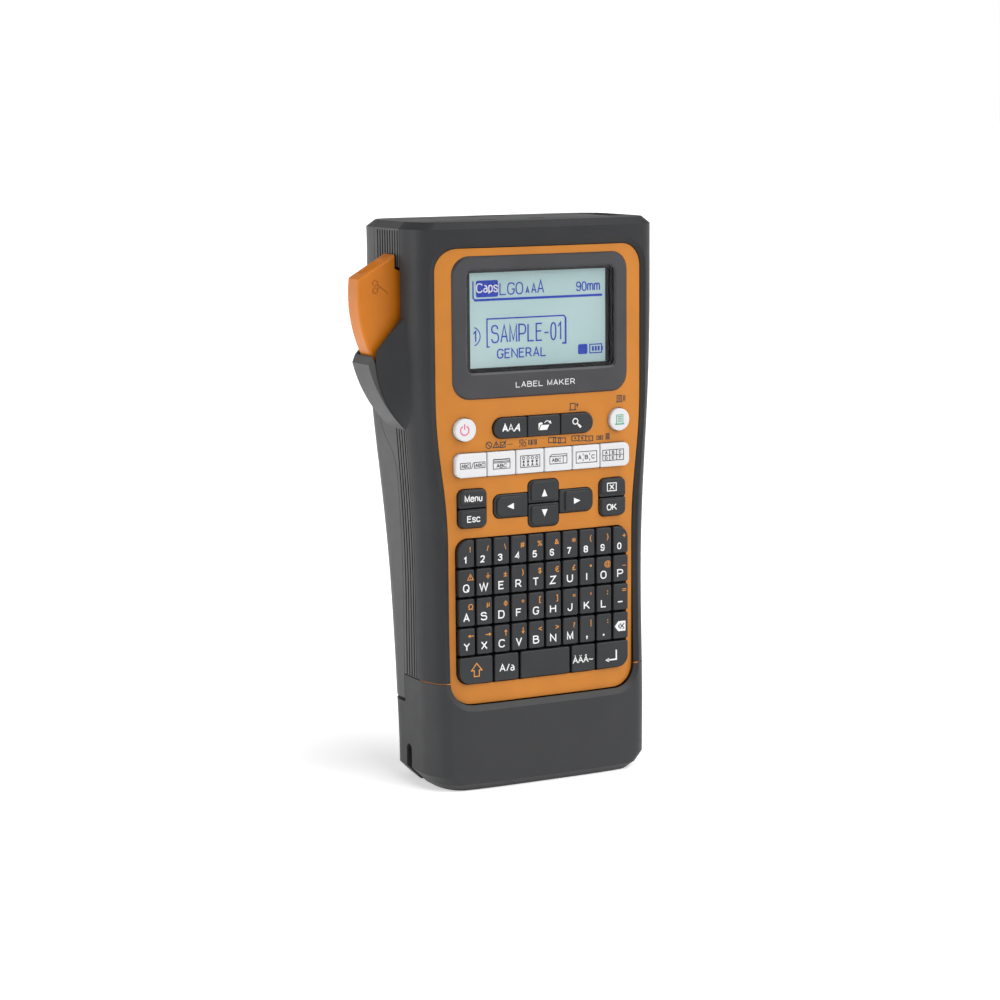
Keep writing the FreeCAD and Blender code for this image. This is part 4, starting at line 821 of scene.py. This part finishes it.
def display_graphics():
    """Status line, sample label in its frame, and the battery sign."""
    marks = Marks("display_graphics", "housing", "blue", display_face, "display")
    marks.stroke([(-29.4, 207.2), (-29.4, 200.4), (-28.7, 199.6)], 0.55)
    marks.stroke([(-28.8, 199.5), (29.5, 199.5)], 0.95)
    marks.write("LGO", -12.2, 203.6, 5.0, 0.48, width=0.80, gap=2.2)
    for x, height in ((-4.9, 3.0), (-2.0, 4.2), (1.1, 5.4)):
        marks.write("A", x, 201.2 + height / 2, height, 0.5, width=0.66)
    marks.write("90mm", 23.0, 203.3, 4.0, 0.52, width=0.84, gap=2.4)
    marks.arc(-30.3, 185.0, 3.9, -70, 70, 0.42, 12)
    marks.write("1", -28.9, 185.0, 4.6, 0.52, width=0.8)
    marks.stroke([(-22.2, 180.6), (-23.3, 180.6), (-23.3, 191.8), (11.6, 191.8), (12.5, 191.0)], 0.55)
    marks.stroke([(12.5, 191.0), (12.5, 180.6), (10.9, 180.6)], 0.75)
    marks.write("SAMPLE-01", -5.5, 185.6, 7.4, 0.58, width=0.53, gap=3.0)
    marks.write("GENERAL", -7.7, 177.6, 4.0, 0.52, width=0.86, gap=3.0)
    marks.rounded(18.2, 175.6, 22.6, 179.7, 0.7)
    marks.stroke([(23.7, 175.9), (29.2, 175.9), (29.2, 179.4), (23.7, 179.4)], 0.45, closed=True)
    marks.box(29.3, 176.8, 29.8, 178.5)
    for n in range(3):
        marks.box(24.7 + 1.35 * n, 176.7, 25.6 + 1.35 * n, 178.6)
    marks.done()
    capitals_box()


def capitals_box():
    """Filled tab with light letters."""
    tab = Marks("display_tab", "housing", "blue", display_face, "display")
    tab.rounded(-28.1, 200.6, -18.2, 207.3, 0.8)
    tab.done()
    words = Marks("display_tab_words", "housing", "white", display_letter_face, "display")
    words.write("Caps", -23.2, 204.3, 3.8, 0.42, width=0.86, gap=2.6)
    words.done()


# ---------------------------------------------------------------- joint above the base

SEAM_Z = 45.2
SEAM_CORNER = ((-42.7, -20.84), (-47.12, -20.05), (-50.7, -14.57), (-50.7, -6.84))
SEAM_DEPTHS = (0.4, 1.3)   # from the casing's surface to the strip's faces
SEAM_HALF_HEIGHT = 0.17
SEAM_STEPS = 12
SEAM_INWARD = (0.25, 2.0)  # inward runs to 3/4 of the point's x and to this y


def corner_point(t):
    """Point on the casing's front corner at the joint, from the panel (0) to the side (1)."""
    shares = ((1 - t) ** 3, 3 * t * (1 - t) ** 2, 3 * t * t * (1 - t), t ** 3)
    return tuple(sum(share * point[axis] for share, point in zip(shares, SEAM_CORNER)) for axis in (0, 1))


def seam_strip(name, side):
    """Edge of the orange panel that shows in the joint above the base, round one front corner."""
    mesh = bmesh.new()
    outer, inner = SEAM_DEPTHS
    section = ((outer, -SEAM_HALF_HEIGHT), (outer, SEAM_HALF_HEIGHT),
               (inner, SEAM_HALF_HEIGHT), (inner, -SEAM_HALF_HEIGHT))
    rings = []
    for step in range(SEAM_STEPS + 1):
        x, y = corner_point(step / SEAM_STEPS)
        inward = Vector((-x * SEAM_INWARD[0], SEAM_INWARD[1] - y)).normalized()
        rings.append([mesh.verts.new((side * (x + inward.x * depth) * MM, (y + inward.y * depth) * MM,
                                      (SEAM_Z + rise) * MM))
                      for depth, rise in section])
    bridge(mesh, rings)
    make_piece(name, mesh, MATERIALS["panel_orange"], "housing")


for letter_keys in LETTERS:
    letter_row(letter_keys)
wide_row()
control_keys()
round_keys()
menu_icons()
label_keys()
panel_icons()
bezel_words()
display_sheet()
display_graphics()
seam_strip("seam_strip_left", 1)
seam_strip("seam_strip_right", -1)


# ---------------------------------------------------------------- spring under the lever

SPRING_AXIS = (-35.0, -1.6)
SPRING_Z = (162.0, 195.4)
SPRING_RADIUS = 2.1
SPRING_WIRE = 0.5
SPRING_TURNS = 14
STEPS_PER_TURN = 24
WIRE_SIDES = 8


def cutter_spring():
    """Coil of steel wire in place of the spring part, which it hides."""
    mesh = bmesh.new()
    steps = SPRING_TURNS * STEPS_PER_TURN
    low, high = SPRING_Z[0] + SPRING_WIRE / 2, SPRING_Z[1] - SPRING_WIRE / 2
    rings = []
    for step in range(steps + 1):
        around = math.tau * SPRING_TURNS * step / steps
        height = low + (high - low) * step / steps
        ring = []
        for side in range(WIRE_SIDES):
            across = math.tau * side / WIRE_SIDES
            reach = SPRING_RADIUS + SPRING_WIRE / 2 * math.cos(across)
            ring.append(mesh.verts.new(((SPRING_AXIS[0] + reach * math.cos(around)) * MM,
                                        (SPRING_AXIS[1] + reach * math.sin(around)) * MM,
                                        (height + SPRING_WIRE / 2 * math.sin(across)) * MM)))
        rings.append(ring)
    bridge(mesh, rings)
    coil = make_piece("spring_coil", mesh, MATERIALS["steel"], "housing", smooth=True)
    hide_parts("cutter_spring")
    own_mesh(coil)


cutter_spring()


# ---------------------------------------------------------------- studio

CAMERA_AT = Vector((-0.48744, -0.93885, 0.27487))
CAMERA_AZIMUTH = math.radians(-26.97)
CAMERA_ELEVATION = math.radians(8.61)
CAMERA_ROLL = math.radians(-0.47)
CAMERA_LENS = 92.95
SENSOR_WIDTH = 36.0
SKY_GREY = 0.30
SKY_FADE = (0.10, 0.30)    # sines of the elevations between which the sky turns from white to grey
SUN_FROM = (0.45, -0.60, 0.80)
FLOOR_REACH = 30.0
FLOOR_GLOW = 0.38
LIGHT_TARGET = (0.0, 0.0, 0.12)


def make_camera():
    """Camera at the viewing angle of the reference."""
    az, el, roll = CAMERA_AZIMUTH, CAMERA_ELEVATION, CAMERA_ROLL
    view = Vector((-math.sin(az) * math.cos(el), math.cos(az) * math.cos(el), -math.sin(el)))
    right = view.cross(Vector((0, 0, 1))).normalized()
    up = right.cross(view)
    right, up = (math.cos(roll) * right + math.sin(roll) * up,
                 math.cos(roll) * up - math.sin(roll) * right)
    data = bpy.data.cameras.new("camera")
    data.lens = CAMERA_LENS
    data.sensor_width = SENSOR_WIDTH
    data.clip_start = 0.01
    camera = bpy.data.objects.new("camera", data)
    axes = Matrix((right, up, -view)).transposed().to_4x4()
    camera.matrix_world = Matrix.Translation(CAMERA_AT) @ axes
    bpy.context.scene.collection.objects.link(camera)
    bpy.context.scene.camera = camera


def make_area(name, at, towards, size, power):
    data = bpy.data.lights.new(name, "AREA")
    data.shape = "RECTANGLE"
    data.size, data.size_y = size
    data.energy = power
    light = bpy.data.objects.new(name, data)
    light.location = at
    light.rotation_euler = (Vector(towards) - Vector(at)).to_track_quat("-Z", "Y").to_euler()
    bpy.context.scene.collection.objects.link(light)


def make_sun(name, origin, strength, angle):
    """Soft sun that shines from the given direction."""
    data = bpy.data.lights.new(name, "SUN")
    data.energy = strength
    data.angle = angle
    sun = bpy.data.objects.new(name, data)
    sun.rotation_euler = (-Vector(origin)).to_track_quat("-Z", "Y").to_euler()
    bpy.context.scene.collection.objects.link(sun)


def make_floor():
    mesh = bpy.data.meshes.new("floor")
    corners = [(-1, -1), (1, -1), (1, 1), (-1, 1)]
    mesh.from_pydata([(x * FLOOR_REACH, y * FLOOR_REACH, 0.0) for x, y in corners], [], [(0, 1, 2, 3)])
    floor = bpy.data.objects.new("floor", mesh)
    bpy.context.scene.collection.objects.link(floor)
    paper = moulded("floor_paper", (0.90, 0.90, 0.90), 0.8, grain_scale=400, mottle=0.01)
    shader = next(n for n in paper.node_tree.nodes if n.type == "BSDF_PRINCIPLED")
    shader.inputs["Emission Color"].default_value = (1.0, 1.0, 1.0, 1.0)
    shader.inputs["Emission Strength"].default_value = FLOOR_GLOW
    mesh.materials.append(paper)


def make_world():
    """White close to the horizon, grey overhead, so dark sides keep their depth."""
    world = bpy.data.worlds.new("studio")
    world.use_nodes = True
    nodes, links = world.node_tree.nodes, world.node_tree.links
    split = nodes.new("ShaderNodeSeparateXYZ")
    links.new(nodes.new("ShaderNodeTexCoord").outputs["Generated"], split.inputs["Vector"])
    ramp = colour_mix(nodes, links, split.outputs["Z"], (1.0, 1.0, 1.0), (SKY_GREY, SKY_GREY, SKY_GREY),
                      *SKY_FADE)
    links.new(ramp.outputs["Color"], nodes["Background"].inputs["Color"])
    bpy.context.scene.world = world


def make_studio():
    make_camera()
    make_world()
    make_floor()
    make_sun("key_sun", SUN_FROM, strength=3.2, angle=1.1)
    make_area("side_left", at=(-1.3, 0.15, 0.45), towards=LIGHT_TARGET, size=(0.5, 1.2), power=10)
    bpy.context.scene.view_settings.view_transform = "Standard"


make_studio()
